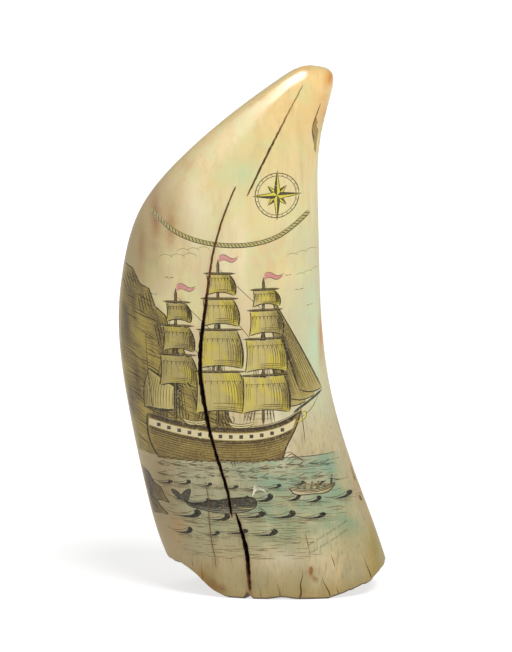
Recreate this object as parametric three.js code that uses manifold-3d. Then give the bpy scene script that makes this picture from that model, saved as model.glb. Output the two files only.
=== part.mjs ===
// A scrimshaw whale tooth: one solid tooth of whale ivory that stands on its root.
// Units are millimetres. +Z is up, the decorated face looks along -Y, and the tip leans to +X.
// The origin is on the surface that the root stands on, below the middle of the tooth's box.
import * as THREE from "three";
import Module from "manifold-3d";

// Driving dimensions
const TOOTH_HEIGHT = 170;
const FULLNESS = 0.12; // how much boxier than an ellipse a level section is
const ROOT_WALL = 6.2; // wall of the pulp cavity at its mouth
const CAVITY_HEIGHT = 62; // from the resting surface to the cavity's point
const CAVITY_TAPER = 0.9; // 1 is a straight cone, less is a blunter one
const OUTER_EDGE_RADIUS = 1.3; // worn round of the root's outer edge
const INNER_EDGE_RADIUS = 0.9;
const MAIN_CRACK_DEPTH = 5;
const TIP_CRACK_DEPTH = 1.6;
const CRACK_OVERCUT = 1.5; // how far the cutter stands out of the surface
const NOTCH_WIDTH = 2.6; // where the crack runs out through the root's edge
const NOTCH_HEIGHT = 1.8;
const FLAKE_LENGTH = 22; // the ball that the flake below the tip is cut with
const FLAKE_RADIUS = 6;
const FLAKE_BITE = 1.3; // how deep the flake goes into the edge
const FLAKE_PLACE = 0.876; // its height, a share of the tooth's
const FLAKE_ANGLE = 74; // its place round the tooth, in degrees from the front
const FLAKE_TILT = 14; // its lean, along the edge below the tip

// Facets
const SIDES = 56;
const BODY_RINGS = 36;
const CAVITY_RINGS = 9;
const EDGE_STEPS = 3; // facets across each round of the root's edge
const FLAKE_SIDES = 16;
const FLAKE_RINGS = 12;

// The outline seen from the front: [height, left edge, right edge, half depth],
// all as shares of the tooth's height, from the tip down to the root.
const OUTLINE = [
  [1.0, 0.112, 0.112, 0.0],
  [0.9936, 0.085, 0.144, 0.025],
  [0.971, 0.049, 0.155, 0.045],
  [0.91, -0.034, 0.141, 0.068],
  [0.824, -0.132, 0.126, 0.1],
  [0.73, -0.207, 0.126, 0.12],
  [0.616, -0.24, 0.13, 0.132],
  [0.51, -0.249, 0.1345, 0.137],
  [0.36, -0.234, 0.1545, 0.138],
  [0.19, -0.198, 0.2085, 0.136],
  [0.06, -0.158, 0.254, 0.132],
  [0.0, -0.13, 0.269, 0.128],
];

// How far the root's worn edge stands above the resting surface: [angle in degrees, height].
// Angle 0 is the front and 90 the right side. Heights below zero are worn flat.
const EDGE_RISE = [
  [-90, 9.5],
  [-79, 9.9],
  [-70, 10],
  [-63, 9.6],
  [-57, 8.7],
  [-50, 6.1],
  [-46, 3.4],
  [-42, 1.5],
  [-37, 0.3],
  [-32, -0.3],
  [-25, -0.4],
  [-15, -0.4],
  [-3, 0.6],
  [8, -0.4],
  [21, -0.3],
  [31, 1.2],
  [42, 2.6],
  [56, 4.4],
  [72, 7.1],
  [90, 8.2],
  [112, 6],
  [132, 1.4],
  [146, -0.4],
  [162, -0.3],
  [188, 0.7],
  [212, -0.3],
  [226, -0.4],
  [231, 1.4],
  [236, 4.6],
  [243, 7.1],
  [250, 8.5],
  [260, 9.3],
];

// The open cracks seen from the front: [x, height, width]
const MAIN_CRACK = [
  [-4.8, 134, 0.3],
  [-9.6, 122, 0.5],
  [-12.6, 110, 0.55],
  [-14.7, 94, 0.95],
  [-16.3, 77, 1.25],
  [-15.2, 66, 1.3],
  [-11.8, 50, 1],
  [-6.7, 31.5, 0.9],
  [-6.1, 26.8, 0.3],
];
const FOOT_CRACK = [
  [-5, 28.8, 0.3],
  [-3.6, 24.5, 0.95],
  [-1.4, 15.2, 1.45],
  [-0.8, 8, 1.15],
  [-0.3, -3, 1],
];
const TIP_CRACK = [
  [16.5, 165, 0.25],
  [12.2, 157, 0.35],
  [6.4, 146, 0.55],
  [0.8, 135, 0.5],
  [-1.4, 130.5, 0.25],
];

// The nick at the crack's foot: [share of its width from the crack, share of its height]
const NOTCH_OUTLINE = [
  [-0.7, -1],
  [0.3, -1],
  [0.25, 0],
  [-0.05, 0.5],
  [0.1, 0.85],
  [0, 1],
  [-0.3, 0.7],
];

// A natural cubic curve through [place, value] pairs.
function cubicThrough(places, values) {
  const n = places.length;
  const bend = new Array(n).fill(0);
  const carried = new Array(n).fill(0);
  for (let i = 1; i < n - 1; i++) {
    const before = places[i] - places[i - 1];
    const after = places[i + 1] - places[i];
    const pull = (values[i + 1] - values[i]) / after - (values[i] - values[i - 1]) / before;
    const pivot = 2 * (before + after) - before * carried[i - 1];
    carried[i] = after / pivot;
    bend[i] = (6 * pull - before * bend[i - 1]) / pivot;
  }
  for (let i = n - 2; i > 0; i--) bend[i] -= carried[i] * bend[i + 1];
  return (place) => {
    let i = 0;
    while (i < n - 2 && place > places[i + 1]) i++;
    const span = places[i + 1] - places[i];
    const t = place - places[i];
    const slope = (values[i + 1] - values[i]) / span - (span * (2 * bend[i] + bend[i + 1])) / 6;
    return values[i] + t * (slope + t * (bend[i] / 2 + (t * (bend[i + 1] - bend[i])) / (6 * span)));
  };
}

// The outline is drawn against the square root of the depth below the tip, which rounds the tip off.
const belowTip = (share) => Math.sqrt(Math.max(0, 1 - share));
const outlineCurve = (column) =>
  cubicThrough(
    OUTLINE.map((row) => belowTip(row[0])),
    OUTLINE.map((row) => row[column] * TOOTH_HEIGHT),
  );
const leftEdge = outlineCurve(1);
const rightEdge = outlineCurve(2);
const halfDepth = outlineCurve(3);

// The level section at a height: its middle, half width and half depth.
function sectionAt(height) {
  const place = belowTip(height / TOOTH_HEIGHT);
  const left = leftEdge(place);
  const right = rightEdge(place);
  return { middle: (left + right) / 2, width: (right - left) / 2, depth: halfDepth(place) };
}

// A point on a level section drawn in by an inset and then shrunk towards its middle.
function sectionPoint(height, angle, inset = 0, shrink = 1) {
  const section = sectionAt(height);
  const sine = Math.sin(angle);
  const across = (section.width - inset) * shrink * sine;
  const deep = (section.depth - inset) * shrink * Math.cos(angle) * (1 + FULLNESS * sine * sine);
  return new THREE.Vector3(section.middle + across, -deep, height);
}

const edgeCurve = (() => {
  const turn = 360;
  const around = [-1, 0, 1].flatMap((k) => EDGE_RISE.map(([angle, rise]) => [angle + k * turn, rise]));
  return cubicThrough(
    around.map((row) => row[0]),
    around.map((row) => row[1]),
  );
})();
const edgeHeight = (angle) => Math.max(0, edgeCurve(THREE.MathUtils.radToDeg(angle)));

// The rings from the tip down the outside, round the root's edge and up into the cavity.
// Each is a function from the angle to a point.
function rings() {
  const list = [];
  for (let i = 1; i <= BODY_RINGS; i++) {
    const share = (i / BODY_RINGS) ** 2;
    list.push((angle) => {
      const lowest = edgeHeight(angle) + OUTER_EDGE_RADIUS;
      return sectionPoint(TOOTH_HEIGHT - (TOOTH_HEIGHT - lowest) * share, angle);
    });
  }
  for (let i = 1; i <= EDGE_STEPS; i++) {
    const round = (i / EDGE_STEPS) * (Math.PI / 2);
    const inset = OUTER_EDGE_RADIUS * (1 - Math.cos(round));
    const lift = OUTER_EDGE_RADIUS * (1 - Math.sin(round));
    list.push((angle) => sectionPoint(edgeHeight(angle) + lift, angle, inset));
  }
  for (let i = 0; i <= EDGE_STEPS; i++) {
    const round = (i / EDGE_STEPS) * (Math.PI / 2);
    const inset = ROOT_WALL - INNER_EDGE_RADIUS * (1 - Math.sin(round));
    const lift = INNER_EDGE_RADIUS * (1 - Math.cos(round));
    list.push((angle) => sectionPoint(edgeHeight(angle) + lift, angle, inset));
  }
  for (let i = 1; i < CAVITY_RINGS; i++) {
    const share = i / CAVITY_RINGS;
    list.push((angle) => {
      const mouth = edgeHeight(angle) + INNER_EDGE_RADIUS;
      const height = mouth + (CAVITY_HEIGHT - mouth) * share;
      return sectionPoint(height, angle, ROOT_WALL, (1 - share) ** CAVITY_TAPER);
    });
  }
  return list;
}

// The tooth before its cracks: the rings joined up, closed by the tip and the cavity's point.
function toothGeometry() {
  const positions = [];
  const indices = [];
  const all = rings();
  positions.push(...sectionPoint(TOOTH_HEIGHT, 0).toArray());
  for (const ring of all) {
    for (let side = 0; side < SIDES; side++) {
      positions.push(...ring((side / SIDES) * 2 * Math.PI).toArray());
    }
  }
  const apex = sectionAt(CAVITY_HEIGHT);
  positions.push(apex.middle, 0, CAVITY_HEIGHT);
  const last = positions.length / 3 - 1;
  const at = (ring, side) => 1 + ring * SIDES + (side % SIDES);
  for (let side = 0; side < SIDES; side++) {
    indices.push(0, at(0, side), at(0, side + 1));
    for (let ring = 0; ring < all.length - 1; ring++) {
      const [a, b] = [at(ring, side), at(ring, side + 1)];
      const [c, d] = [at(ring + 1, side), at(ring + 1, side + 1)];
      indices.push(a, c, b, b, c, d);
    }
    indices.push(at(all.length - 1, side), last, at(all.length - 1, side + 1));
  }
  return geometryOf(positions, indices);
}

function geometryOf(positions, indices) {
  const geometry = new THREE.BufferGeometry();
  geometry.setAttribute("position", new THREE.Float32BufferAttribute(positions, 3));
  geometry.setIndex(indices);
  return geometry;
}

// The height of the front surface's y at a place seen from the front.
function frontY(x, height) {
  const section = sectionAt(height);
  const sine = THREE.MathUtils.clamp((x - section.middle) / section.width, -0.98, 0.98);
  return sectionPoint(height, Math.asin(sine)).y;
}

// A wedge along a crack's route: open at the surface, closing to an edge at its depth.
function crackCutter(route, depth) {
  const positions = [];
  const indices = [];
  const spread = 1 + CRACK_OVERCUT / depth;
  for (const [x, height, width] of route) {
    const surface = frontY(x, Math.max(height, 0));
    positions.push(x - (width / 2) * spread, surface - CRACK_OVERCUT, height);
    positions.push(x + (width / 2) * spread, surface - CRACK_OVERCUT, height);
    positions.push(x, surface + depth, height);
  }
  const end = (route.length - 1) * 3;
  indices.push(0, 1, 2, end, end + 2, end + 1);
  for (let i = 0; i < end; i += 3) {
    for (let k = 0; k < 3; k++) {
      const [a, b] = [i + k, i + ((k + 1) % 3)];
      indices.push(a, a + 3, b, b, a + 3, b + 3);
    }
  }
  return geometryOf(positions, indices);
}

// The nick through the root's wall where the crack runs out.
function notchCutter() {
  const [x] = FOOT_CRACK[FOOT_CRACK.length - 1];
  const outline = NOTCH_OUTLINE.map(
    ([across, up]) => new THREE.Vector2(x + across * NOTCH_WIDTH, up * NOTCH_HEIGHT),
  );
  const reach = ROOT_WALL + 2 * NOTCH_WIDTH;
  const shape = new THREE.Shape(outline);
  const geometry = new THREE.ExtrudeGeometry(shape, { depth: reach, bevelEnabled: false });
  geometry.rotateX(Math.PI / 2);
  geometry.translate(0, frontY(x, 0) + ROOT_WALL / 2 + reach / 2, 0);
  return geometry;
}

// The shallow flake lost from the right edge below the tip.
function flakeCutter() {
  const height = TOOTH_HEIGHT * FLAKE_PLACE;
  const place = sectionPoint(height, THREE.MathUtils.degToRad(FLAKE_ANGLE));
  const outwards = new THREE.Vector3(place.x - sectionAt(height).middle, place.y, 0).normalize();
  const geometry = new THREE.SphereGeometry(FLAKE_RADIUS, FLAKE_SIDES, FLAKE_RINGS);
  geometry.rotateX(Math.PI / 2);
  geometry.scale(1, 1, FLAKE_LENGTH / (2 * FLAKE_RADIUS));
  geometry.rotateY(THREE.MathUtils.degToRad(FLAKE_TILT));
  const centre = place.addScaledVector(outwards, FLAKE_RADIUS - FLAKE_BITE);
  geometry.translate(centre.x, centre.y, centre.z);
  return geometry;
}

const wasm = await Module();
wasm.setup();

// A closed geometry as a solid, its repeated points joined.
function solidOf(geometry) {
  const source = geometry.getAttribute("position");
  const order = geometry.index ? [...geometry.index.array] : [...Array(source.count).keys()];
  const found = new Map();
  const points = [];
  const joined = order.map((i) => {
    const point = [source.getX(i), source.getY(i), source.getZ(i)];
    const key = point.map((value) => value.toFixed(4)).join();
    if (!found.has(key)) {
      found.set(key, points.length / 3);
      points.push(...point);
    }
    return found.get(key);
  });
  const triangles = [];
  for (let i = 0; i < joined.length; i += 3) {
    const [a, b, c] = joined.slice(i, i + 3);
    if (a !== b && b !== c && c !== a) triangles.push(a, b, c);
  }
  return new wasm.Manifold(
    new wasm.Mesh({
      numProp: 3,
      vertProperties: new Float32Array(points),
      triVerts: new Uint32Array(triangles),
    }),
  );
}

function toothSolid() {
  const cutters = [
    crackCutter(MAIN_CRACK, MAIN_CRACK_DEPTH),
    crackCutter(FOOT_CRACK, MAIN_CRACK_DEPTH),
    crackCutter(TIP_CRACK, TIP_CRACK_DEPTH),
    notchCutter(),
    flakeCutter(),
  ];
  return cutters.reduce((solid, cutter) => solid.subtract(solidOf(cutter)), solidOf(toothGeometry()));
}

function toothMesh() {
  const made = toothSolid().getMesh();
  const geometry = geometryOf([...made.vertProperties], [...made.triVerts]);
  geometry.computeBoundingBox();
  const { min, max } = geometry.boundingBox;
  geometry.translate(-(min.x + max.x) / 2, -(min.y + max.y) / 2, -min.z);
  geometry.computeVertexNormals();
  const ivory = new THREE.MeshStandardMaterial({ color: 0xe3cfa2, roughness: 0.3, metalness: 0 });
  const mesh = new THREE.Mesh(geometry, ivory);
  mesh.name = "whale_tooth";
  return mesh;
}

const tooth = new THREE.Group();
tooth.add(toothMesh());
export default tooth;
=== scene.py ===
import math
import random

import bpy
import numpy as np
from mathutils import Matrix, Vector
from mathutils.geometry import delaunay_2d_cdt


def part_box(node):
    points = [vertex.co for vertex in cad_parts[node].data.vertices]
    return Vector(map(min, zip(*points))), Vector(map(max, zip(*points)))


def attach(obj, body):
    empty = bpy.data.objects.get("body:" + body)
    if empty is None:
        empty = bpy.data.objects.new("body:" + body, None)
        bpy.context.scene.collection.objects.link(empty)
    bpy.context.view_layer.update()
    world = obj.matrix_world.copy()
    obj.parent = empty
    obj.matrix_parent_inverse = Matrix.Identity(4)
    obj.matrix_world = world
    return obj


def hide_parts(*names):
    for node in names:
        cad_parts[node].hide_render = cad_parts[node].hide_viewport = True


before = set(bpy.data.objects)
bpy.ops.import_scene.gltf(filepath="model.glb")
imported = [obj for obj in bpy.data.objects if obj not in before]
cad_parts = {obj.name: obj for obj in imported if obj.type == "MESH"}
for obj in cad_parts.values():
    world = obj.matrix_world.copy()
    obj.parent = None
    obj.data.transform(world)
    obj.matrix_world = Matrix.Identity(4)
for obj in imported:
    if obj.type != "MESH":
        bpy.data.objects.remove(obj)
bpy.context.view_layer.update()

# A scrimshaw whale tooth. Its skin is worked out in millimetres on a flat sheet, where the cracks and
# the engraving are cut in, and then wrapped round the form that the solid has.
MM = 0.001
LOWEST, HIGHEST = (np.array(corner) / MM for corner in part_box("whale_tooth"))
HEIGHT = HIGHEST[2]
TINY = 1e-6
SEED = 7
rng = random.Random(SEED)

# Sizes that the solid has too
FULLNESS = 0.12
ROOT_WALL = 6.2
CAVITY_HEIGHT = 62
CAVITY_TAPER = 0.9
OUTER_EDGE = 1.3
INNER_EDGE = 0.9
FLAKE_LENGTH = 22
FLAKE_RADIUS = 6
FLAKE_BITE = 1.3
FLAKE_HEIGHT = HEIGHT * 0.876
FLAKE_ANGLE = math.radians(74)
FLAKE_TILT = math.radians(14)

# The outline seen from the front: height, left edge, right edge, half depth, as shares of the height
OUTLINE = np.array([
    [1.0, 0.112, 0.112, 0.0],
    [0.9936, 0.085, 0.144, 0.025],
    [0.971, 0.049, 0.155, 0.045],
    [0.91, -0.034, 0.141, 0.068],
    [0.824, -0.132, 0.126, 0.1],
    [0.73, -0.207, 0.126, 0.12],
    [0.616, -0.24, 0.13, 0.132],
    [0.51, -0.249, 0.1345, 0.137],
    [0.36, -0.234, 0.1545, 0.138],
    [0.19, -0.198, 0.2085, 0.136],
    [0.06, -0.158, 0.254, 0.132],
    [0.0, -0.13, 0.269, 0.128],
])
# The worn root edge: angle from the front in degrees, height above the floor
EDGE_RISE = np.array([
    [-90, 9.5], [-79, 9.9], [-70, 10], [-63, 9.6], [-57, 8.7], [-50, 6.1], [-46, 3.4], [-42, 1.5],
    [-37, 0.3], [-32, -0.3], [-25, -0.4], [-15, -0.4], [-3, 0.6], [8, -0.4], [21, -0.3], [31, 1.2],
    [42, 2.6], [56, 4.4], [72, 7.1], [90, 8.2], [112, 6], [132, 1.4], [146, -0.4], [162, -0.3],
    [188, 0.7], [212, -0.3], [226, -0.4], [231, 1.4], [236, 4.6], [243, 7.1], [250, 8.5], [260, 9.3],
])
# The notch where the crack runs out through the root's edge: across from the crack's foot, height
FOOT_X = -0.3
NOTCH_ACROSS = [-1.9, -0.9, -0.1, 0.3, 0.55, 0.8]
NOTCH_UP = [0, 0.9, 1.8, 1.5, 0.5, 0]


def cubic_through(places, values):
    """A natural cubic curve through values at places, as a function of arrays."""
    places, values = np.asarray(places, float), np.asarray(values, float)
    count = len(places)
    span = np.diff(places)
    rise = np.diff(values) / span
    system, load = np.eye(count), np.zeros(count)
    for i in range(1, count - 1):
        system[i, i - 1:i + 2] = span[i - 1], 2 * (span[i - 1] + span[i]), span[i]
        load[i] = 6 * (rise[i] - rise[i - 1])
    bend = np.linalg.solve(system, load)

    def at(place):
        place = np.asarray(place, float)
        i = np.clip(np.searchsorted(places, place, side="right") - 1, 0, count - 2)
        t = place - places[i]
        slope = rise[i] - span[i] * (2 * bend[i] + bend[i + 1]) / 6
        return values[i] + t * (slope + t * (bend[i] / 2 + t * (bend[i + 1] - bend[i]) / (6 * span[i])))
    return at


def below_tip(share):
    """The root of the way down from the tip, in which the outline's round tip is a plain curve."""
    return np.sqrt(np.clip(1 - share, 0, None))


LEFT_EDGE, RIGHT_EDGE, HALF_DEPTH = (
    cubic_through(below_tip(OUTLINE[:, 0]), OUTLINE[:, column] * HEIGHT) for column in (1, 2, 3))
RISE_AROUND = cubic_through(
    np.concatenate([EDGE_RISE[:, 0] + turn for turn in (-360, 0, 360)]), np.tile(EDGE_RISE[:, 1], 3))


def section(z):
    """The middle, half width and half depth of the level section at a height."""
    place = below_tip(z / HEIGHT)
    left, right = LEFT_EDGE(place), RIGHT_EDGE(place)
    return (left + right) / 2, (right - left) / 2, HALF_DEPTH(place)


def edge_height(theta):
    """How far the root's edge stands above the floor at an angle, chips and notch included."""
    rise = np.maximum(RISE_AROUND(np.degrees(theta)), 0)
    worn = 0.16 * np.sin(17 * theta + 0.8) + 0.12 * np.sin(29 * theta + 2.1) + 0.07 * np.sin(61 * theta)
    rise = rise + np.clip(rise / 2, 0, 1) * worn
    middle, width, _ = section(0.0)
    across = middle + width * np.sin(theta) - FOOT_X
    return rise + np.where(np.cos(theta) > 0, np.interp(across, NOTCH_ACROSS, NOTCH_UP, 0, 0), 0)


# The flat sheet. u runs round the tooth, v up its skin: v is 0 at the foot of the outside and falls
# below it round the root's edge and up into the cavity.
STATIONS = 800
EDGE_STATIONS = 60
CAVITY_STATIONS = 200
MEAN_FOOT = 5
CAVITY_RUN = 60
ROUND_END = OUTER_EDGE * math.pi / 2
FLAT_END = ROUND_END + ROOT_WALL - OUTER_EDGE - INNER_EDGE
MOUTH_END = FLAT_END + INNER_EDGE * math.pi / 2
DEEPEST = MOUTH_END + CAVITY_RUN


def body_table():
    """For stations from the foot to the tip: v, the root of the share of the way down, the radius."""
    t = np.linspace(0, 1, STATIONS)
    z = HEIGHT - (HEIGHT - MEAN_FOOT) * t ** 2
    radius = sum(section(z)[1:]) / 2
    along = np.concatenate([[0], np.cumsum(np.hypot(np.diff(z), np.diff(radius)))])
    return (along[-1] - along)[::-1], t[::-1], radius[::-1]


BODY_V, BODY_T, BODY_R = body_table()
TIP_V = BODY_V[-1]


def sheet_table():
    """For stations from deep in the cavity to the tip: v and the sheet's radius."""
    cavity = MOUTH_END + CAVITY_RUN * np.linspace(0, 1, CAVITY_STATIONS)[1:]
    down = np.concatenate([np.linspace(0, MOUTH_END, EDGE_STATIONS), cavity])
    share = np.clip((down - MOUTH_END) / CAVITY_RUN, 0, 1)
    rim = BODY_R[0] - ROOT_WALL * np.clip(down / MOUTH_END, 0, 1)
    inside = rim * (1 - share) ** CAVITY_TAPER
    return np.concatenate([-down[::-1], BODY_V[1:]]), np.concatenate([inside[::-1], BODY_R[1:]])


SHEET_V, SHEET_R = sheet_table()


def sheet_radius(v):
    """The radius that turns angles into the sheet's u."""
    return np.interp(v, SHEET_V, SHEET_R)


def flake_cut(points, theta):
    """How far each point lies inside the flake that is lost below the tip, measured inwards."""
    middle, width, depth = section(FLAKE_HEIGHT)
    sine = math.sin(FLAKE_ANGLE)
    place = np.array([width * sine, -depth * math.cos(FLAKE_ANGLE) * (1 + FULLNESS * sine ** 2), 0])
    out = place / np.linalg.norm(place) * (FLAKE_RADIUS - FLAKE_BITE)
    centre = place + out + [middle, 0, FLAKE_HEIGHT]
    cosine, tilt = math.cos(FLAKE_TILT), math.sin(FLAKE_TILT)
    turn = np.array([[cosine, 0, -tilt], [0, 1, 0], [tilt, 0, cosine]])
    size = np.array([FLAKE_RADIUS, FLAKE_RADIUS, FLAKE_LENGTH / 2])
    start = (points - centre) @ turn.T / size
    way = np.stack([-np.sin(theta), np.cos(theta), np.zeros_like(theta)], -1) @ turn.T / size
    a, b = (way ** 2).sum(-1), (start * way).sum(-1)
    c = (start ** 2).sum(-1) - 1
    return np.where(c < 0, (-b + np.sqrt(np.maximum(b * b - a * c, 0))) / a, 0)


def ripple(theta, z):
    """The slight unevenness of a hand-polished surface."""
    return (0.14 * np.sin(3 * theta + z / 23) * np.sin(z / 31 + 1)
            + 0.07 * np.sin(7 * theta - z / 17) + 0.05 * np.sin(11 * theta + z / 9 + 2))


# How far from the foot and the tip the unevenness fades in, and where the flake may reach
RIPPLE_FADE = 8
FLAKE_ABOVE = HEIGHT * 0.7
FLAKE_SPREAD = 1.2


def skin(u, v):
    """Points of the tooth's surface, in millimetres, for places on the flat sheet."""
    u, v = np.asarray(u, float), np.asarray(v, float)
    radius = sheet_radius(v)
    theta = np.where(radius > TINY, u / np.maximum(radius, TINY), 0)
    rise = edge_height(theta)
    down = np.maximum(-v, 0)
    t = np.interp(v, BODY_V, BODY_T)
    outer = np.clip(down / OUTER_EDGE, 0, math.pi / 2)
    flat = np.clip(down - ROUND_END, 0, FLAT_END - ROUND_END)
    inner = np.clip((down - FLAT_END) / INNER_EDGE, 0, math.pi / 2)
    share = np.clip((down - MOUTH_END) / CAVITY_RUN, 0, 1)
    inset = OUTER_EDGE * (1 - np.cos(outer)) + flat + INNER_EDGE * np.sin(inner)
    lift = OUTER_EDGE * (1 - np.sin(outer)) + INNER_EDGE * (1 - np.cos(inner))
    outside = HEIGHT - (HEIGHT - rise - OUTER_EDGE) * t ** 2
    inside = rise + lift + (CAVITY_HEIGHT - rise - INNER_EDGE) * share
    z = np.where(v >= 0, outside, inside)
    shrink = (1 - share) ** CAVITY_TAPER
    middle, width, depth = section(z)
    sine, cosine = np.sin(theta), np.cos(theta)
    points = np.stack([
        middle + (width - inset) * shrink * sine,
        -(depth - inset) * shrink * cosine * (1 + FULLNESS * sine ** 2),
        z], -1)
    fade = np.clip(v / RIPPLE_FADE, 0, 1) * np.clip((TIP_V - v) / RIPPLE_FADE, 0, 1)
    near_flake = (z > FLAKE_ABOVE) & (np.abs(theta - FLAKE_ANGLE) < FLAKE_SPREAD)
    push = ripple(theta, z) * fade - np.where(near_flake, flake_cut(points, theta), 0)
    points[..., 0] += push * sine
    points[..., 1] -= push * cosine
    return points


def wrapped(theta, z):
    """The sheet's place at an angle and a height of the outside or of the round below it."""
    edge = edge_height(theta)
    t = np.sqrt(np.clip((HEIGHT - z) / (HEIGHT - edge - OUTER_EDGE), 0, 1))
    turned = np.arcsin(np.clip(1 - (z - edge) / OUTER_EDGE, 0, 1))
    v = np.interp(t, BODY_T[::-1], BODY_V[::-1]) - OUTER_EDGE * turned
    return np.stack([theta * sheet_radius(v), v], -1)


# How near to the sides of the outline a line can be drawn, and the run over which the paint of
# rocks ends there, as shares of the half width
SIDE_LIMIT = 0.99
ROCK_FADE = 0.02


def seen(x, z):
    """The sheet's place for a point seen from the front."""
    middle, width, _ = section(z)
    return wrapped(np.arcsin(np.clip((x - middle) / width, -SIDE_LIMIT, SIDE_LIMIT)), z)


def linear(red, green, blue, cover=1.0):
    """A colour as seen on a screen, in linear values."""
    shares = (c / 255 for c in (red, green, blue))
    return (*(c / 12.92 if c * 255 <= 10 else ((c + 0.055) / 1.055) ** 2.4 for c in shares), cover)


INK = linear(34, 27, 18, 0.92)
SOFT_INK = linear(70, 55, 34, 0.8)
PALE_INK = linear(104, 86, 56, 0.6)
CRACK_DARK = linear(38, 22, 12, 1)
CRACK_BROWN = linear(96, 66, 36, 0.95)
CRACK_RED = linear(116, 74, 46, 0.95)
TIP_CRACK_DARK = linear(92, 70, 34, 0.95)
TIP_CRACK_PALE = linear(190, 152, 84, 0.65)
SPOT_BROWN = linear(128, 80, 26, 0.85)
SCAR_BROWN = linear(150, 120, 48, 0.95)

# How deep the needle cuts, and the share of a line over which it swells from each end
GROOVE = 0.09
TAPER = 0.35


class Drawing:
    """What is drawn or cut on the flat sheet: outlines in layers, each with its paint and its groove."""

    def __init__(self):
        self.points = []
        self.edges = []
        self.shapes = []

    def chain(self, places, loop=False):
        """Adds places that the mesh must have, joined in a row."""
        first, count = len(self.points), len(places)
        self.points.extend(places)
        self.edges.extend((first + i, first + i + 1) for i in range(count - 1))
        if loop:
            self.edges.append((first + count - 1, first))

    def shape(self, outline, paint, hide=False, dull=0.0, spine=None):
        """A closed outline on the sheet; one that hides lets nothing drawn before it show."""
        self.chain(outline, loop=True)
        self.shapes.append((np.asarray(outline), paint, hide, dull, spine))

    def ribbon(self, route, widths, paint, depths=None, dull=0.0):
        """A band along a route, its middle sunk to depths, its ends closed to points."""
        route = np.asarray(route, float)
        aside = across(route) * (np.asarray(widths, float) / 2)[:, None]
        middles, lefts, rights = (seen(*way.T) for way in (route, route + aside, route - aside))
        outline = np.concatenate([middles[:1], lefts[1:-1], middles[-1:], rights[-2:0:-1]])
        spine = None
        if depths is not None:
            self.chain(middles)
            depths = np.array(np.broadcast_to(depths, len(route)), float)
            depths[[0, -1]] = 0
            spine = (middles, np.linalg.norm(lefts - rights, axis=1) / 2, depths)
        self.shape(outline, paint, False, dull, spine)

    def stroke(self, route, width, ink=INK, depth=GROOVE, taper=TAPER):
        """A line of ink that swells from thin ends, cut in unless its depth is None."""
        share = np.linspace(0, 1, len(route))
        swell = np.clip(np.minimum(share, 1 - share) / taper, 0, 1) ** 0.7
        self.ribbon(route, width * (0.3 + 0.7 * swell), ink, depth)

    def fill(self, outline, paint, hide=True):
        """A closed area of colour."""
        self.shape(seen(*np.asarray(outline, float).T), paint, hide)


draw = Drawing()


def across(route):
    """The direction to the left of a route at each of its points."""
    along = np.gradient(route, axis=0)
    along /= np.maximum(np.linalg.norm(along, axis=1, keepdims=True), TINY)
    return np.stack([-along[:, 1], along[:, 0]], 1)


def chord(points):
    """How far along its straight sides each point of a route lies."""
    return np.concatenate([[0], np.cumsum(np.linalg.norm(np.diff(points, axis=0), axis=1))])


def smooth(points, step=1.3):
    """A smooth route through points, cut into steps."""
    points = np.asarray(points, float)
    far = chord(points)
    places = np.linspace(0, far[-1], max(3, int(far[-1] / step) + 2))
    return np.stack([cubic_through(far, points[:, k])(places) for k in (0, 1)], 1)


def straight(start, end, step=1.6):
    """A straight route, cut into steps."""
    return np.linspace(start, end, max(3, int(math.dist(start, end) / step) + 2))


def closed(points, step=1.2):
    """A closed outline with straight sides cut into steps."""
    points = np.asarray(points, float)
    return np.concatenate([straight(a, b, step)[:-1] for a, b in zip(points, np.roll(points, -1, axis=0))])


def arc(x, z, rx, rz, start, end, step=1.0):
    """Part of an ellipse, from one angle to another in degrees."""
    count = max(4, int(math.radians(abs(end - start)) * max(rx, rz) / step) + 2)
    turn = np.radians(np.linspace(start, end, count))
    return np.stack([x + rx * np.cos(turn), z + rz * np.sin(turn)], 1)


def resampled(route, count):
    """A route with another number of points."""
    places, new = np.linspace(0, 1, len(route)), np.linspace(0, 1, count)
    return np.stack([np.interp(new, places, route[:, k]) for k in (0, 1)], 1)


def curve(points, width, ink=INK, step=1.3, **how):
    """A smooth line through points."""
    draw.stroke(smooth(points, step), width, ink, **how)


def rule(start, end, width, ink=INK, step=1.6, **how):
    """A straight line."""
    draw.stroke(straight(start, end, step), width, ink, **how)


def lerp(a, b, share):
    """The value at a share of the way from one to another."""
    return np.asarray(a, float) * (1 - share) + np.asarray(b, float) * share


def blended(low, high, share):
    """A colour between two, by an array of shares from 0 to 1."""
    return lerp(low, high, np.clip(share, 0, 1)[..., None])


def mottle(x, z, scale=1.0):
    """A smooth uneven value from 0 to 1, for washes laid on by hand."""
    x, z = x / scale, z / scale
    return 0.5 + 0.17 * (np.sin(x * 0.9 + 1.3 * np.sin(z * 0.5)) + np.sin(z * 0.7 + 1.7 * np.sin(x * 0.6))
                         + np.sin((x + z) * 1.9 + 2 * np.sin((x - z) * 0.8)))


def side_fade(x, z, end, run):
    """Falls from 1 to 0 over a run that ends at a share of the half width, so that paint ends softly."""
    middle, width, _ = section(z)
    return np.clip((end - np.abs(x - middle) / width) / run, 0, 1)


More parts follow.
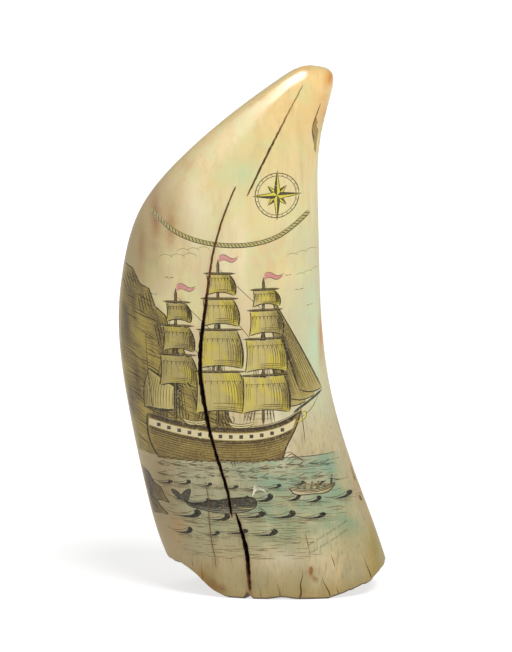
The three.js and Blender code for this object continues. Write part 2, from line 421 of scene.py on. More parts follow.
# The cracks, seen from the front: x, height, width
MAIN_CRACK = np.array([
    [-4.8, 134, 0.3], [-9.6, 122, 0.5], [-12.6, 110, 0.55], [-14.7, 94, 0.95], [-16.3, 77, 1.25],
    [-15.2, 66, 1.3], [-11.8, 50, 1], [-6.7, 31.5, 0.9], [-6.1, 26.8, 0.3],
])
FOOT_CRACK = np.array([
    [-5, 28.8, 0.3], [-3.6, 24.5, 0.95], [-1.4, 15.2, 1.45], [-0.8, 8, 1.15], [-0.3, 2.6, 1],
])
TIP_CRACK = np.array([
    [16.5, 165, 0.25], [12.2, 157, 0.35], [6.4, 146, 0.55], [0.8, 135, 0.5], [-1.4, 130.5, 0.25],
])
CRACK_DEPTH = 5
TIP_CRACK_DEPTH = 1.6
# How steep their walls are, as depth for each width, at heights
MAIN_STEEP = ([28, 33, 84, 100], [2.0, 4.5, 4.5, 1.0])
FOOT_STEEP = ([7, 13], [1.1, 5.0])
TIP_STEEP = ([148, 158], [0.7, 0.2])
# How far the brown right wall shows, and how uneven the lips are
CRACK_WALL = 0.22
CRACK_JITTER = 0.09
CRACK_STEP = 1.1

# Fine lines that don't open: route of x and height, width
FINE_CRACKS = (
    ([(-14.7, 39.1), (-13.5, 32.6), (-13.4, 27.9), (-13, 22.3), (-12.4, 17.7), (-11.6, 13.9),
      (-11.2, 10)], 0.3),
    ([(-33.7, 86.9), (-32.6, 72), (-30.8, 58.1)], 0.3),
    ([(15.5, 64.9), (16.6, 57.5), (17.4, 50.7)], 0.28),
    ([(17.3, 22.2), (18, 19), (18.4, 16.6)], 0.25),
    ([(25.5, 14.8), (26.4, 12.2), (27, 10)], 0.26),
    ([(22.4, 159), (21.5, 156.4), (20.5, 153.8), (19.5, 151)], 0.42),
    ([(19.5, 151), (20.2, 147), (21, 142.6)], 0.5),
    ([(31.7, 42.6), (32.6, 39.6), (33.3, 37.3), (33.7, 35.4)], 0.75),
    ([(34.7, 31.4), (35.2, 30.3), (35.8, 29.2)], 0.6),
)
# Short cracks that open towards the root's edge: route, width at the edge
RIM_CRACKS = (
    ([(16.2, 11), (16.6, 8.4), (15.9, 5), (16.1, 2.4), (15.5, 0.2)], 0.8),
    ([(22.4, 8.8), (23.5, 5.2), (24.8, 2.8), (25.5, 0.9)], 0.5),
    ([(8.3, 7), (8.6, 4.6), (9.3, 2), (9.4, 0.3)], 0.4),
    ([(36.2, 13.4), (37.2, 9.6), (38.3, 7), (38.7, 5.4)], 0.5),
    ([(27.4, 4.4), (27.8, 2.6), (28.4, 1.6)], 0.4),
    ([(-15.7, 12), (-15.9, 9), (-15.5, 6.4), (-15.6, 5)], 0.4),
    ([(-18.8, 14.2), (-19, 11.6), (-18.5, 9.4)], 0.3),
    ([(3.2, 4.6), (3.1, 2.4), (3.3, 0.6)], 0.3),
)
# The scar of the flake below the tip, browner than the skin round it
FLAKE_SCAR = [(19.5, 151), (20.2, 153.4), (20.9, 155), (21.4, 152.6), (22.4, 150.4), (22.7, 149),
              (22, 146.6), (21.4, 143.6), (21, 142.2), (20.3, 146.8)]
# A small brown spot above the right part of the root's edge
SPOT = [(18.5, 10.3), (19.2, 11), (19.8, 10.2), (19.6, 9), (19.2, 7.9), (18.7, 8.6)]


def crack(stations, depth, colour, steep):
    """An open crack along its stations, with uneven lips and a browner right wall."""
    far = chord(stations[:, :2])
    places = np.linspace(0, far[-1], int(far[-1] / CRACK_STEP) + 2)
    x, z = (cubic_through(far, stations[:, k])(places) for k in (0, 1))
    widths = np.interp(places, far, stations[:, 2])
    x = x + np.array([rng.uniform(-CRACK_JITTER, CRACK_JITTER) for _ in places])
    widths = widths * np.array([rng.uniform(0.8, 1.15) for _ in places])
    depths = np.minimum(depth, widths * np.interp(z, *steep))
    route = np.stack([x, z], 1)
    draw.ribbon(route + [CRACK_WALL, 0], widths, CRACK_BROWN, dull=0.6)
    draw.ribbon(route, widths, colour, depths, dull=1.0)


def main_crack_colour(x, z):
    """Nearly black low down, red brown where the crack narrows to its upper end."""
    return blended(CRACK_DARK, CRACK_RED, (z - 86) / 22)


def foot_crack_colour(x, z):
    """Brown where the crack closes up towards the root's edge, nearly black above."""
    return blended(CRACK_BROWN, CRACK_DARK, (z - 8) / 5)


def tip_crack_colour(x, z):
    """Hardly darker than the ivory where the crack begins at the tip."""
    return blended(TIP_CRACK_DARK, TIP_CRACK_PALE, (z - 149) / 11)


def add_cracks():
    """The flake's scar, the brown spot, the fine cracks and then the open ones over them."""
    draw.fill(closed(FLAKE_SCAR, 1.0), SCAR_BROWN, hide=False)
    draw.fill(closed(SPOT, 0.5), SPOT_BROWN, hide=False)
    for route, width in FINE_CRACKS:
        curve(route, width, CRACK_BROWN, 1.0, taper=0.3)
    for route, width in RIM_CRACKS:
        way = smooth(route, 0.7)
        draw.ribbon(way, np.linspace(0.1, 1, len(way)) ** 1.5 * width, CRACK_BROWN, 0.35 * width)
    crack(MAIN_CRACK, CRACK_DEPTH, main_crack_colour, MAIN_STEEP)
    crack(FOOT_CRACK, CRACK_DEPTH, foot_crack_colour, FOOT_STEEP)
    crack(TIP_CRACK, TIP_CRACK_DEPTH, tip_crack_colour, TIP_STEEP)


# The picture: a plain whaling scene in sepia and thin washes, made of common motifs. Places are x and
# height in millimetres, seen from the front.
SAIL_LIGHT = linear(192, 176, 104, 0.86)
SAIL_DARK = linear(124, 106, 44, 0.94)
SAIL_YELLOW = linear(196, 178, 54, 0.92)
HULL_LIGHT = linear(170, 146, 66, 0.93)
HULL_DARK = linear(84, 62, 26, 0.95)
PORT_BAND = linear(206, 192, 150, 0.9)
SPAR_BROWN = linear(112, 96, 52, 0.95)
ROPE_OLIVE = linear(168, 158, 92, 0.85)
PENNANT_PINK = linear(190, 106, 120, 0.75)
BRIGHT_YELLOW = linear(206, 194, 52, 0.9)
WHALE_DARK = linear(58, 54, 44, 0.95)
WHALE_LIGHT = linear(120, 116, 96, 0.85)
WAVE_DARK = linear(30, 24, 16, 0.97)
FOAM = linear(226, 222, 200, 0.75)
SEA_GREEN = linear(126, 144, 108)
SEA_BLUE = linear(120, 152, 128)
CLIFF_LIGHT = linear(156, 136, 58, 0.93)
CLIFF_DARK = linear(78, 60, 26, 0.95)
ROCK_DARK = linear(66, 48, 18, 0.95)
OUTLINE_WIDTH = 0.36
HATCH_WIDTH = 0.2


def hatch(edge_a, edge_b, count, ink=INK, start=0.0, end=1.0, dense=1.0):
    """Engraved lines that pass evenly from one curve to another, crowding to the second."""
    for i in range(count):
        route = lerp(edge_a, edge_b, 1 - (1 - (i + 0.5) / count) ** dense)
        a = int(len(route) * max(0.0, start + rng.uniform(-0.06, 0.06)))
        b = int(len(route) * min(1.0, end + rng.uniform(-0.08, 0.08)))
        if b - a > 2:
            draw.stroke(route[a:b], HATCH_WIDTH, ink)


def gradient(x0, x1, low, high, grain=0.35):
    """A paint that passes from one colour to another across x, unevenly."""
    def paint(x, z):
        share = np.clip((x - x0) / (x1 - x0), 0, 1)
        return blended(low, high, share ** 1.5 * (1 - grain) + grain * mottle(x, z, 1.6))
    return paint


def sail_paint(x0, x1):
    """Old sailcloth, darker away from the light and to the left, with yellow patches."""
    shade = gradient(x0, x1, SAIL_LIGHT, SAIL_DARK)

    def paint(x, z):
        yellow = np.clip(2.4 * mottle(x + 7, z * 0.8, 2.0) - 0.95, 0, 0.85)[..., None]
        cloth = lerp(shade(x, z), SAIL_YELLOW, yellow)
        return lerp(cloth, HULL_DARK, np.interp(x, [-30, -8], [0.45, 0])[..., None])
    return paint


# The ship: its masts and deck, the end of its bowsprit, and how far its sails are blown out
FORE, MAIN, MIZZEN = 4.0, -10.5, -24.0
DECK = 57.0
BOW_TIP = (23.0, 66.6)
SAIL_BELLY = 1.9
PENNANT_LENGTH = 6.5
# Each mast: x, top, and its square sails as foot, head, width at the foot, width at the head
MASTS = (
    (FORE, 105.0, (
        (61, 73, 14.4, 13), (74.2, 84.8, 12.4, 11), (86, 94, 10, 8.6), (95.2, 100.6, 7.8, 6.6))),
    (MAIN, 111.0, (
        (61, 74.4, 15, 13.8), (75.6, 88, 13.2, 11.8), (89.2, 98, 10.8, 9.4), (99.2, 106, 8.4, 7.2))),
    (MIZZEN, 101.5, (
        (69.5, 79.6, 11, 9.8), (80.8, 89, 9.2, 8), (90.2, 96.6, 7.2, 6))),
)
STAYS = (
    ((FORE, 103), BOW_TIP), ((FORE, 94), (20.5, 65)), ((FORE, 85), (17.5, 63)),
    ((MAIN, 108), (FORE, 94)), ((MAIN, 98), (FORE, 80)), ((MIZZEN, 99), (MAIN, 86)),
    ((MIZZEN, 90), (MAIN, 72)), ((MIZZEN, 99), (-32.5, 60)), ((MIZZEN, 92), (-31.5, 60)),
)
# Three-cornered sails before the foremast: tack, head, clew
STAY_SAILS = (
    ((17.6, 64), (5.6, 84.5), (9.6, 63.6)),
    ((20.4, 65.6), (6.2, 91), (12.4, 65.4)),
    ((22.8, 67.2), (6.6, 98.5), (15.4, 68)),
)
# The hull: its rail, stem and stern
STEM_FOOT, STERN_FOOT = (10.2, 45.6), (-29.4, 45.2)
SHEER = smooth([[-33.2, 59.8], [-20, 57.3], [-5, 56.1], [6, 56.9], [13, 59.3], [16, 61.2]], 1.0)
STEM = smooth([[16, 61.2], [15.2, 58], [13.2, 53.5], [11.2, 49.4], STEM_FOOT], 1.0)
STERN = smooth([STERN_FOOT, [-31.6, 49], [-33, 53.6], [-33.2, 59.8]], 1.0)
# Lines along its side: drop below the rail, width, ink
SIDE_LINES = (
    *((drop, 0.3, INK) for drop in (0.5, 0.95, 4.2, 4.7)),
    *((drop, 0.2, INK) for drop in (5.5, 6.2)),
    *((drop, 0.2, SOFT_INK) for drop in (7.0, 7.7, 8.5, 9.3, 10.2, 11.1)),
)
# Where the spanker's gaff and boom end
GAFF_END, BOOM_END = (-32.6, 74.6), (-34.0, 61.8)
# The gilt scroll below the bowsprit
SCROLL = [(14.6, 57.6), (16.4, 58.2), (17.5, 59.6), (17.2, 60.9), (16.2, 60.6), (16.5, 59.8)]


def square_sail(x, foot, head, foot_width, head_width):
    """A square sail full of wind from the left, with its yard, seams, reef points and shading."""
    steps = int((head - foot) / 0.8) + 4
    down = np.linspace(0, 1, steps)
    swell = 4 * down * (1 - down) * 0.5 + down * 0.5
    half = lerp(head_width / 2, foot_width / 2, down)
    level = lerp(head, foot, down)

    def column(share):
        """The line from head to foot at a share of the way across."""
        out = SAIL_BELLY * swell * (0.45 + 0.75 * share)
        rise = 1.1 * 4 * share * (1 - share) * down ** 2
        return np.stack([x - half + 2 * half * share + out, level + rise], 1)

    def row(step, start, end, count):
        """A line from left to right at one of the steps down."""
        return np.array([column(share)[step] for share in np.linspace(start, end, count)])
    left, right, bottom = column(0), column(1), row(-1, 0, 1, 12)
    width = half.max()
    outline = np.concatenate([left[::-1], right, bottom[-2:0:-1]])
    draw.fill(outline, sail_paint(x - width * 0.7, x + width * 1.3))
    hatch(column(0.62), column(0.99), 9, SOFT_INK, 0.04, 0.97, dense=1.6)
    hatch(column(0.82), column(1.0), 4, INK, 0.3, 0.98)
    hatch(column(0.03), column(0.16), 3, PALE_INK, 0.1, 0.8)
    for share in (0.28, 0.45, 0.6):
        draw.stroke(column(share), 0.16, PALE_INK, None)
    for place in (0.84, 0.9, 0.95):
        draw.stroke(row(int(place * (steps - 1)), 0.3, 0.99, 16), 0.2, SOFT_INK)
    reef = row(int(0.22 * steps), 0.02, 0.98, 24)
    draw.stroke(reef, 0.16, SOFT_INK, None, 0.02)
    for spot in reef[1::3]:
        rule(spot + [0, 0.3], spot - [0, 1.1], 0.22, INK, 0.4, depth=None)
    for side in (left, right, bottom):
        draw.stroke(side, OUTLINE_WIDTH, taper=0.08)
    yard = straight((x - head_width / 2 - 1.2, head + 0.25), (x + head_width / 2 + 2.0, head + 0.25), 1.2)
    draw.stroke(yard, 0.85, taper=0.2)
    draw.stroke(yard + [0, 0.12], 0.3, SPAR_BROWN, None, 0.2)


def stay_sail(tack, head, clew):
    """A three-cornered sail on a stay."""
    run = np.linspace(0, 1, 22)[:, None]
    bow = 4 * run * (1 - run)
    luff = lerp(tack, head, run) + bow * [0.3, 0.2]
    leech = lerp(clew, head, run) + bow * [-0.44, 0.1]
    foot = lerp(tack, clew, run) + bow * [0, -0.99]
    outline = np.concatenate([luff, leech[::-1][1:], foot[::-1][1:-1]])
    draw.fill(outline, gradient(clew[0] - 2, tack[0] + 3, SAIL_DARK, SAIL_LIGHT))
    hatch(leech, luff, 9, SOFT_INK, 0.03, 0.8)
    hatch(leech, lerp(leech, luff, 0.25), 4, INK, 0.05, 0.7)
    for side in (luff, leech, foot):
        draw.stroke(side, OUTLINE_WIDTH, taper=0.1)


def pennant(x, z):
    """A plain narrow flag that streams from a masthead."""
    run = np.linspace(0, 1, 12)
    wave = 0.55 * np.sin(run * 7)
    top = np.stack([x + PENNANT_LENGTH * run, z + 1.1 - 0.5 * run + wave], 1)
    low = np.stack([x + PENNANT_LENGTH * run * 0.94, z - 0.9 + 0.7 * run + wave], 1)
    notch = [[x + PENNANT_LENGTH * 0.8, (top[-1, 1] + low[-1, 1]) / 2]]
    draw.fill(np.concatenate([top, notch, low[::-1]]), PENNANT_PINK)
    draw.stroke(top, 0.22, SOFT_INK)
    draw.stroke(low, 0.22, SOFT_INK)


def rigging():
    """Masts, stays and shrouds, which the sails hide in part."""
    for x, top, _ in MASTS:
        for high in (top - 17, top - 30):
            for side in (-1, 1):
                for k in range(4):
                    foot = (x + side * (1.8 + 1.1 * k) - 1.4, DECK + 0.8)
                    rule(foot, (x + side * 0.3, high), 0.2, INK, 2.4, depth=None, taper=0.05)
        for k in range(9):
            z = DECK + 2.2 + 1.7 * k
            reach = 4.6 * (1 - k / 13)
            rule((x - 1.4 - reach, z), (x - 1.0 + reach, z), 0.16, SOFT_INK, 1.5, depth=None, taper=0.05)
        rule((x, DECK), (x, top), 0.95, INK, 2.0, taper=0.02)
        rule((x - 0.1, DECK), (x - 0.1, top - 1), 0.3, SPAR_BROWN, 2.0, depth=None, taper=0.02)
    for start, end in STAYS:
        rule(start, end, 0.2, INK, 2.2, depth=None, taper=0.03)


def side_line(drop):
    """A line along the ship's side at a drop below the rail, cut to the stem and the stern."""
    x = np.arange(-32.6, 14.6, 1.0)
    z = sheer(x, drop)
    bow = np.interp(-z, -STEM[:, 1], STEM[:, 0]) - 0.3
    stern = np.interp(z, STERN[:, 1], STERN[:, 0]) + 0.3
    return np.stack([x, z], 1)[(x < bow) & (x > stern)]


def sheer(x, drop=0.0):
    """The height of the rail, or of a line at a drop below it."""
    return np.interp(x, *SHEER.T) - drop


def hull_paint(x, z):
    """Dark wales above and below, lighter planks between, browner to the bow and the waterline."""
    drop = sheer(x) - z
    bands = np.interp(drop, [0, 0.9, 1.3, 3.9, 4.3, 7, 12], [0.9, 0.8, 0.45, 0.4, 0.8, 0.45, 0.75])
    return blended(HULL_LIGHT, HULL_DARK, bands * 0.8 + 0.35 * mottle(x, z * 2, 1.4) * (0.6 + (x + 33) / 90))


def plank_ends():
    """Short upright seams scattered over the planks."""
    for i in range(30):
        x = -30.5 + 1.42 * i + rng.uniform(-0.3, 0.3)
        z = sheer(x, rng.uniform(4.6, 9))
        if z > 46.5 and x < 11:
            rule((x, z), (x + 0.15, z - 1.5), 0.18, SOFT_INK, 0.6, depth=None)


def hull():
    """The hull with its pale band of gun ports, its wales and planks."""
    keel = straight(STEM_FOOT, STERN_FOOT)[1:-1]
    draw.fill(np.concatenate([SHEER, STEM[1:], keel, STERN[:-1]]), hull_paint)
    draw.fill(np.concatenate([side_line(1.5), side_line(3.7)[::-1]]), PORT_BAND)
    for drop, width, ink in SIDE_LINES:
        draw.stroke(side_line(drop), width, ink, taper=0.02)
    for i in range(13):
        x = -29.5 + 3.3 * i
        port = np.array([(-1, -1), (1, -1), (1, 1), (-1, 1)]) * 0.6 + [x, sheer(x, 2.6)]
        draw.fill(closed(port), INK)
    plank_ends()
    for line in (SHEER, STEM, STERN):
        draw.stroke(line, 0.5, taper=0.05)
    draw.stroke(SHEER + [0, 0.55], 0.3, SPAR_BROWN, None, 0.05)


def bow():
    """The bowsprit, the stay below it and the gilt scroll."""
    rule((13.4, 60.6), BOW_TIP, 0.8, INK, 1.5, taper=0.1)
    curve([(15.4, 58.6), (18.6, 60.6), (21.8, 65.6)], 0.2, depth=None)
    scroll = smooth(SCROLL, 0.6)
    draw.stroke(scroll, 0.5, BRIGHT_YELLOW, None)
    draw.stroke(scroll + [0.25, -0.2], 0.2)


def spanker():
    """The fore-and-aft sail behind the mizzen mast, with its gaff and boom."""
    x = MIZZEN - 0.6
    foot, head, bend = (x, 62.2), (x, 69.4), (-34.2, 68)
    outline = np.concatenate([
        straight(foot, head), straight(head, GAFF_END)[1:], smooth([GAFF_END, bend, BOOM_END])[1:],
        smooth([BOOM_END, (-29, 61.2), foot])[1:-1]])
    draw.fill(outline, gradient(-24, -36, SAIL_LIGHT, SAIL_DARK))
    leech = resampled(smooth([BOOM_END, bend, GAFF_END], 1.0), 14)
    hatch(np.linspace(foot, head, 14), leech, 14, SOFT_INK, dense=1.5)
    draw.stroke(np.append(outline, outline[:1], 0), 0.3, taper=0.02)
    rule((MIZZEN, 69.6), (GAFF_END[0] - 0.8, GAFF_END[1] + 0.6), 0.6, taper=0.1)
    rule((MIZZEN, 61.6), (BOOM_END[0] - 0.6, BOOM_END[1]), 0.6, taper=0.1)


def hung_boat(x, z):
    """A small boat that hangs at the ship's side."""
    top = smooth([(x - 4.2, z + 1.1), (x, z + 0.5), (x + 4.2, z + 1.2)], 0.8)
    low = smooth([(x + 4.2, z + 1.2), (x + 2.8, z - 0.4), (x, z - 0.8), (x - 2.8, z - 0.5),
                  (x - 4.2, z + 1.1)], 0.8)
    draw.fill(np.concatenate([top, low[1:-1]]), lerp(PORT_BAND, SAIL_LIGHT, 0.5))
    for line in (top, low, top - [0, 0.7]):
        draw.stroke(line, 0.24)
    for side in (-2.6, 2.6):
        davit = [(x + side, z + 0.6), (x + side, z + 2.8), (x + side - 0.7, z + 3.2)]
        curve(davit, 0.3, INK, 0.6, depth=None)


def ship():
    """A three-masted ship under sail, seen from its side."""
    rigging()
    hull()
    for x in (-17.5, -3.0):
        hung_boat(x, sheer(x) + 1.0)
    bow()
    spanker()
    for corners in STAY_SAILS:
        stay_sail(*corners)
    for x, top, sails in MASTS[::-1]:
        for sail in sails:
            square_sail(x, *sail)
        pennant(x + 0.3, top - 0.2)


# A rocky coast behind the ship: its skyline from the left edge down to the water
SKYLINE = np.array([
    (-41.6, 107), (-38, 106), (-35.5, 101.5), (-32.6, 100.4), (-30.6, 95), (-27.4, 92.4), (-25, 85),
    (-21.6, 82), (-19.4, 75), (-15.4, 71.5), (-12.6, 65), (-8, 62), (-4.4, 55), (-1.4, 46.4),
])
# Two low rocks at the left edge, each from its top round to its foot
ROCKS = (
    [(-36, 41), (-32.8, 39.5), (-31, 36.4), (-29.2, 35.4), (-27.4, 32), (-26.2, 30.6), (-28.6, 30.9),
     (-31.4, 29.9), (-33, 30.4)],
    [(-32.8, 31.6), (-30.4, 30.5), (-28.6, 28.2), (-26.6, 26.4), (-28.4, 26.3), (-31.4, 25.6)],
)


def cliff_paint(x, z):
    """Olive rock, browner and darker to the left and in patches."""
    share = 0.8 * mottle(x * 1.5, z * 0.7, 2.2) + 0.12 * np.clip((-26 - x) / 18, 0, 1)
    laid = blended(CLIFF_LIGHT, CLIFF_DARK, share * 1.3 - 0.2)
    laid[..., 3] *= side_fade(x, z, SIDE_LIMIT, ROCK_FADE)
    return laid


def rock_paint(x, z):
    """Wet rock, darkest at the tooth's edge, where it ends softly."""
    laid = blended(ROCK_DARK, CLIFF_LIGHT, (x + 32) / 6 * mottle(x * 2, z * 2))
    laid[..., 3] *= side_fade(x, z, SIDE_LIMIT, ROCK_FADE)
    return laid


def strata():
    """Broken lines that fall to the right across the cliff, one in three heavy."""
    for z in np.arange(48, 105, 0.95):
        middle, width, _ = section(z)
        x, end = middle - 0.97 * width, np.interp(-z, -SKYLINE[:, 1], SKYLINE[:, 0]) - 0.4
        while x < end:
            stop = min(x + rng.uniform(2.0, 7.5), end)
            if stop - x > 1.2:
                fall = rng.uniform(0.25, 0.55) * (stop - x)
                width, ink = (0.34, INK) if rng.random() < 0.3 else (0.2, SOFT_INK)
                curve([(x, z), ((x + stop) / 2, z - 0.35 * fall), (stop, z - fall)], width, ink, 1.1)
            x = stop + rng.uniform(0.2, 1.6)


def coast():
    """The cliff with its strata, and lines down its steep faces."""
    heights = np.arange(46.4, 107, 2.0)
    middle, width, _ = section(heights)
    shore = np.stack([middle - 0.985 * width, heights], 1)
    skyline = closed(SKYLINE, 1.4)
    skyline = skyline[:np.argmin(skyline[:, 1]) + 1]
    water = straight(skyline[-1], shore[0], 1.4)[1:-1]
    draw.fill(np.concatenate([skyline, water, shore]), cliff_paint)
    strata()
    for (ax, az), (bx, bz) in zip(SKYLINE[:-1], SKYLINE[1:]):
        if az - bz > 3:
            for k in range(5):
                start = (ax - 0.5 - 0.75 * k, az - 0.6 * k - 0.4)
                rule(start, (bx - 0.9 - 0.85 * k, bz - 1.0 - 0.5 * k), 0.3, INK, 1.1)
    draw.stroke(skyline, 0.4, taper=0.02)


def rocks():
    """Two low dark rocks in the water at the left edge."""
    for outline in ROCKS:
        draw.fill(closed(outline, 1.0), rock_paint)
        curve(outline[:-1], OUTLINE_WIDTH, INK, 1.0)
        for k in range(1, 6):
            start = lerp(outline[min(k - 1, 2)], outline[-1], 0.12 * k)
            end = lerp(outline[-2], outline[-1], 0.15 * k)
            rule(start, lerp(start, end, 0.7), HATCH_WIDTH, INK, 1.0)


# Waves, with 0 to 1 across and up: the thin back of a tall one, the dark curl at its front, a small crest
SWELL = np.array([(-0.45, 0.7), (-0.1, 0.3), (0.3, 0.34), (0.62, 0.62), (0.84, 1.0)])
CURL = np.array([
    (-0.05, 0.04), (0.4, 0.1), (0.68, 0.26), (0.8, 0.52), (0.78, 0.8), (0.9, 1.04), (1.04, 0.86),
    (1.08, 0.46), (0.97, 0.1), (0.75, -0.08), (0.4, -0.07)])
SMALL_CREST = np.array([(0, 0), (0.3, 0.16), (0.6, 0.6), (0.82, 1.0), (1.0, 0.86), (0.98, 0.56)])
TALL_WAVE = 1.4
# Below this height the crests are in full ink
NEAR_WATER = 38
# Rows of waves from the back: height, length and height of a wave, where the row ends
WAVE_ROWS = (
    (43.4, 2.8, 0.9, 0.88), (40.4, 3.4, 1.1, 0.88), (36.8, 4.2, 1.5, 0.88),
    (32.2, 5.4, 2.1, 0.88), (26.8, 6.6, 2.7, 0.7), (21.4, 5.8, 2.0, 0.35),
)
HORIZON = 46.4
SEA_FOOT = 14


def wave_row(z, length, height, end):
    """A row of small curling waves, no two alike, with lines of shade in the troughs between them."""
    middle, width, _ = section(z)
    x = middle - 0.88 * width + rng.uniform(0, length)
    while x < middle + end * width - length:
        span = length * rng.uniform(0.75, 1.35)
        size = np.array([span, height * rng.uniform(0.6, 1.2)])
        start = np.array([x, z + 0.6 * math.sin(x / 6 + z) + rng.uniform(-0.4, 0.4)])
        if height > TALL_WAVE:
            curve(start + size * SWELL, 0.2, SOFT_INK, 0.6)
            draw.fill(closed(start + size * CURL, 0.6), WAVE_DARK, hide=False)
        else:
            ink = INK if z < NEAR_WATER else SOFT_INK
            curve(start + size * SMALL_CREST, 0.24, ink, 0.6, taper=0.25)
        for k in range(1, 5):
            shade = np.array([(0.1 * k, -0.06 - 0.17 * k), (0.55, 0.1 - 0.2 * k), (1.1, 0.06 - 0.22 * k)])
            curve(start + size * shade, 0.17, SOFT_INK if k < 3 else PALE_INK, 0.6)
        for k in range(rng.choice((2, 3))):
            low = rng.uniform(0.9, 1.2)
            trough = np.array([(low, 0.1), (low + 0.3, -0.16), (low + 0.7, 0.02)]) - [0, 0.3 * k]
            curve(start + size * trough, 0.16, PALE_INK, 0.6)
        x += span * rng.uniform(1.2, 1.7)


def ripples(low, high, count, end=0.8):
    """Short level lines scattered over calm water."""
    for _ in range(count):
        z = rng.uniform(low, high)
        middle, width, _ = section(z)
        x = middle + rng.uniform(-0.85, end) * width
        length = rng.uniform(2, 6)
        bend = rng.uniform(-0.25, 0.35)
        curve([(x, z), (x + length / 2, z + bend), (x + length, z)], 0.18, PALE_INK, 0.9)


def sea_paint(x, z):
    """Blue green that thins out downwards and to the left, patchy as a wash by hand."""
    share = np.clip((z - 12) / 12, 0, 1) * (0.3 + 0.8 * mottle(x, z * 3, 3.2))
    share = share * side_fade(x, z, 0.97, 0.14) * np.interp(x, [-34, -12, 8], [0.12, 0.4, 1.05])
    laid = blended(SEA_GREEN, SEA_BLUE, (z - 20) / 26)
    laid[..., 3] = np.clip(0.85 * share, 0, 0.9)
    return laid


def sea():
    """The water with its horizon, crossed by ripples."""
    middle, width, _ = section(46.5)
    top = straight((middle - 0.96 * width, HORIZON), (middle + 0.97 * width, HORIZON))
    low_middle, low_width, _ = section(SEA_FOOT)
    low = straight((low_middle + 0.95 * low_width, SEA_FOOT), (low_middle - 0.95 * low_width, SEA_FOOT))
    right, left = straight(top[-1], low[0])[1:-1], straight(low[-1], top[0])[1:-1]
    draw.fill(np.concatenate([top, right, low, left]), sea_paint, hide=False)
    rule((middle - 0.9 * width, HORIZON), (middle + 0.93 * width, HORIZON), 0.3, SOFT_INK, taper=0.1)
    ripples(41.5, 46, 70)
    ripples(26, 42, 120)
    ripples(13.5, 27, 130, 0.35)


def sea_front():
    """The waves before the ship, the foam along its side and its bow wave."""
    for row in WAVE_ROWS:
        wave_row(*row)
    for x in np.arange(-29, 11, 2.4):
        x += rng.uniform(-0.5, 0.5)
        draw.stroke(arc(x, 44.8, 1.4, rng.uniform(0.6, 1.3), 20, 170, 0.6), 0.26)
    for k in range(4):
        wave = [(9.6 + k * 0.8, 46.2 - k * 0.6), (12 + k, 48.2 - k * 0.7), (14.6 + k, 46.4 - k * 0.7)]
        curve(wave, 0.26, SOFT_INK, 0.7)


# The whale, for a size of 1, from its middle at the water: its back, belly and flukes
WHALE_BACK = [(-13.4, 3.0), (-11.6, 2.1), (-9, 2.0), (-6, 2.7), (-4.2, 3.4), (-3.2, 3.3), (0, 3.6), (4, 4.2),
              (8, 4.5), (10.4, 4.2), (11.4, 2.8), (11.0, 0.9)]
WHALE_BELLY = [(11.0, 0.9), (8, -0.4), (3, -1.0), (-3, -0.9), (-8, 0), (-11.6, 1.0), (-13.4, 3.0)]
FLUKES = [(-13.2, 2.4), (-15.4, 3.4), (-17.4, 6.0), (-15.4, 5.4), (-14.2, 4.4), (-13.2, 5.6), (-11, 6.6),
          (-11.4, 4.0), (-12.4, 2.0), (-13.2, 2.4)]
WHALE_MOUTH = [(10.6, 0.9), (7.6, 0.7), (4.8, 1.1)]
WHALE_EYE = (4.2, 1.7)


def whale(x, z, size):
    """A sperm whale at the surface, seen from its side, that blows."""
    def at(points):
        return [(x + size * a, z + size * b) for a, b in points]

    def shade(px, pz):
        """Paler down to the belly, unevenly."""
        return blended(WHALE_DARK, WHALE_LIGHT,
                       (z + size * 1.3 - pz) / (2.4 * size) + 0.4 * (mottle(px, pz, 0.8) - 0.5))
    back, belly, flukes = smooth(at(WHALE_BACK), 0.7), smooth(at(WHALE_BELLY), 0.7), smooth(at(FLUKES), 0.6)
    draw.fill(flukes[:-1], WHALE_DARK)
    draw.stroke(flukes, 0.26, taper=0.02)
    draw.fill(np.concatenate([back, belly[1:-1]]), shade)
    hatch(resampled(back, 30), resampled(belly[::-1], 30), 7, INK, 0.12, 0.94, dense=0.7)
    draw.stroke(back, 0.4, taper=0.05)
    draw.stroke(belly, 0.3, taper=0.05)
    curve(at(WHALE_MOUTH), 0.22, SAIL_LIGHT, 0.6, depth=None)
    draw.stroke(arc(*at([WHALE_EYE])[0], 0.28, 0.22, 0, 320, 0.2), 0.16, SAIL_LIGHT, None)
    for k in range(6):
        lean = 0.4 + k * 0.36
        spray = smooth(at([(9.9, 4.6), (10.2 + lean * 0.5, 6.8), (10.4 + lean * 1.4, 8.8 - k * 0.3),
                           (10.6 + lean * 2, 8.2 - k * 0.6)]), 0.7)
        draw.stroke(spray, 0.3, FOAM, None)
        draw.stroke(spray + [0.22, 0.1], 0.12, SOFT_INK, None)
    for k in range(5):
        foam = [(11.4 + k * 0.5, 0.4 - k * 0.5), (12.6 + k * 0.5, 1.0 - k * 0.5),
                (13.6 + k * 0.5, 0.2 - k * 0.5)]
        curve(at(foam), 0.22, SOFT_INK, 0.5)


def rower(x, z):
    """A plain little figure at an oar."""
    body = [(x - 0.5, z + 0.6), (x + 0.55, z + 0.6), (x + 0.6, z + 1.9), (x + 0.1, z + 2.3),
            (x - 0.35, z + 1.9)]
    draw.fill(closed(body, 0.9), SPAR_BROWN)
    draw.fill(arc(x + 0.25, z + 2.75, 0.36, 0.42, 0, 300, 0.25), SOFT_INK)
    rule((x + 0.3, z + 1.5), (x - 2.8, z - 1.4), 0.2, INK, 0.9)


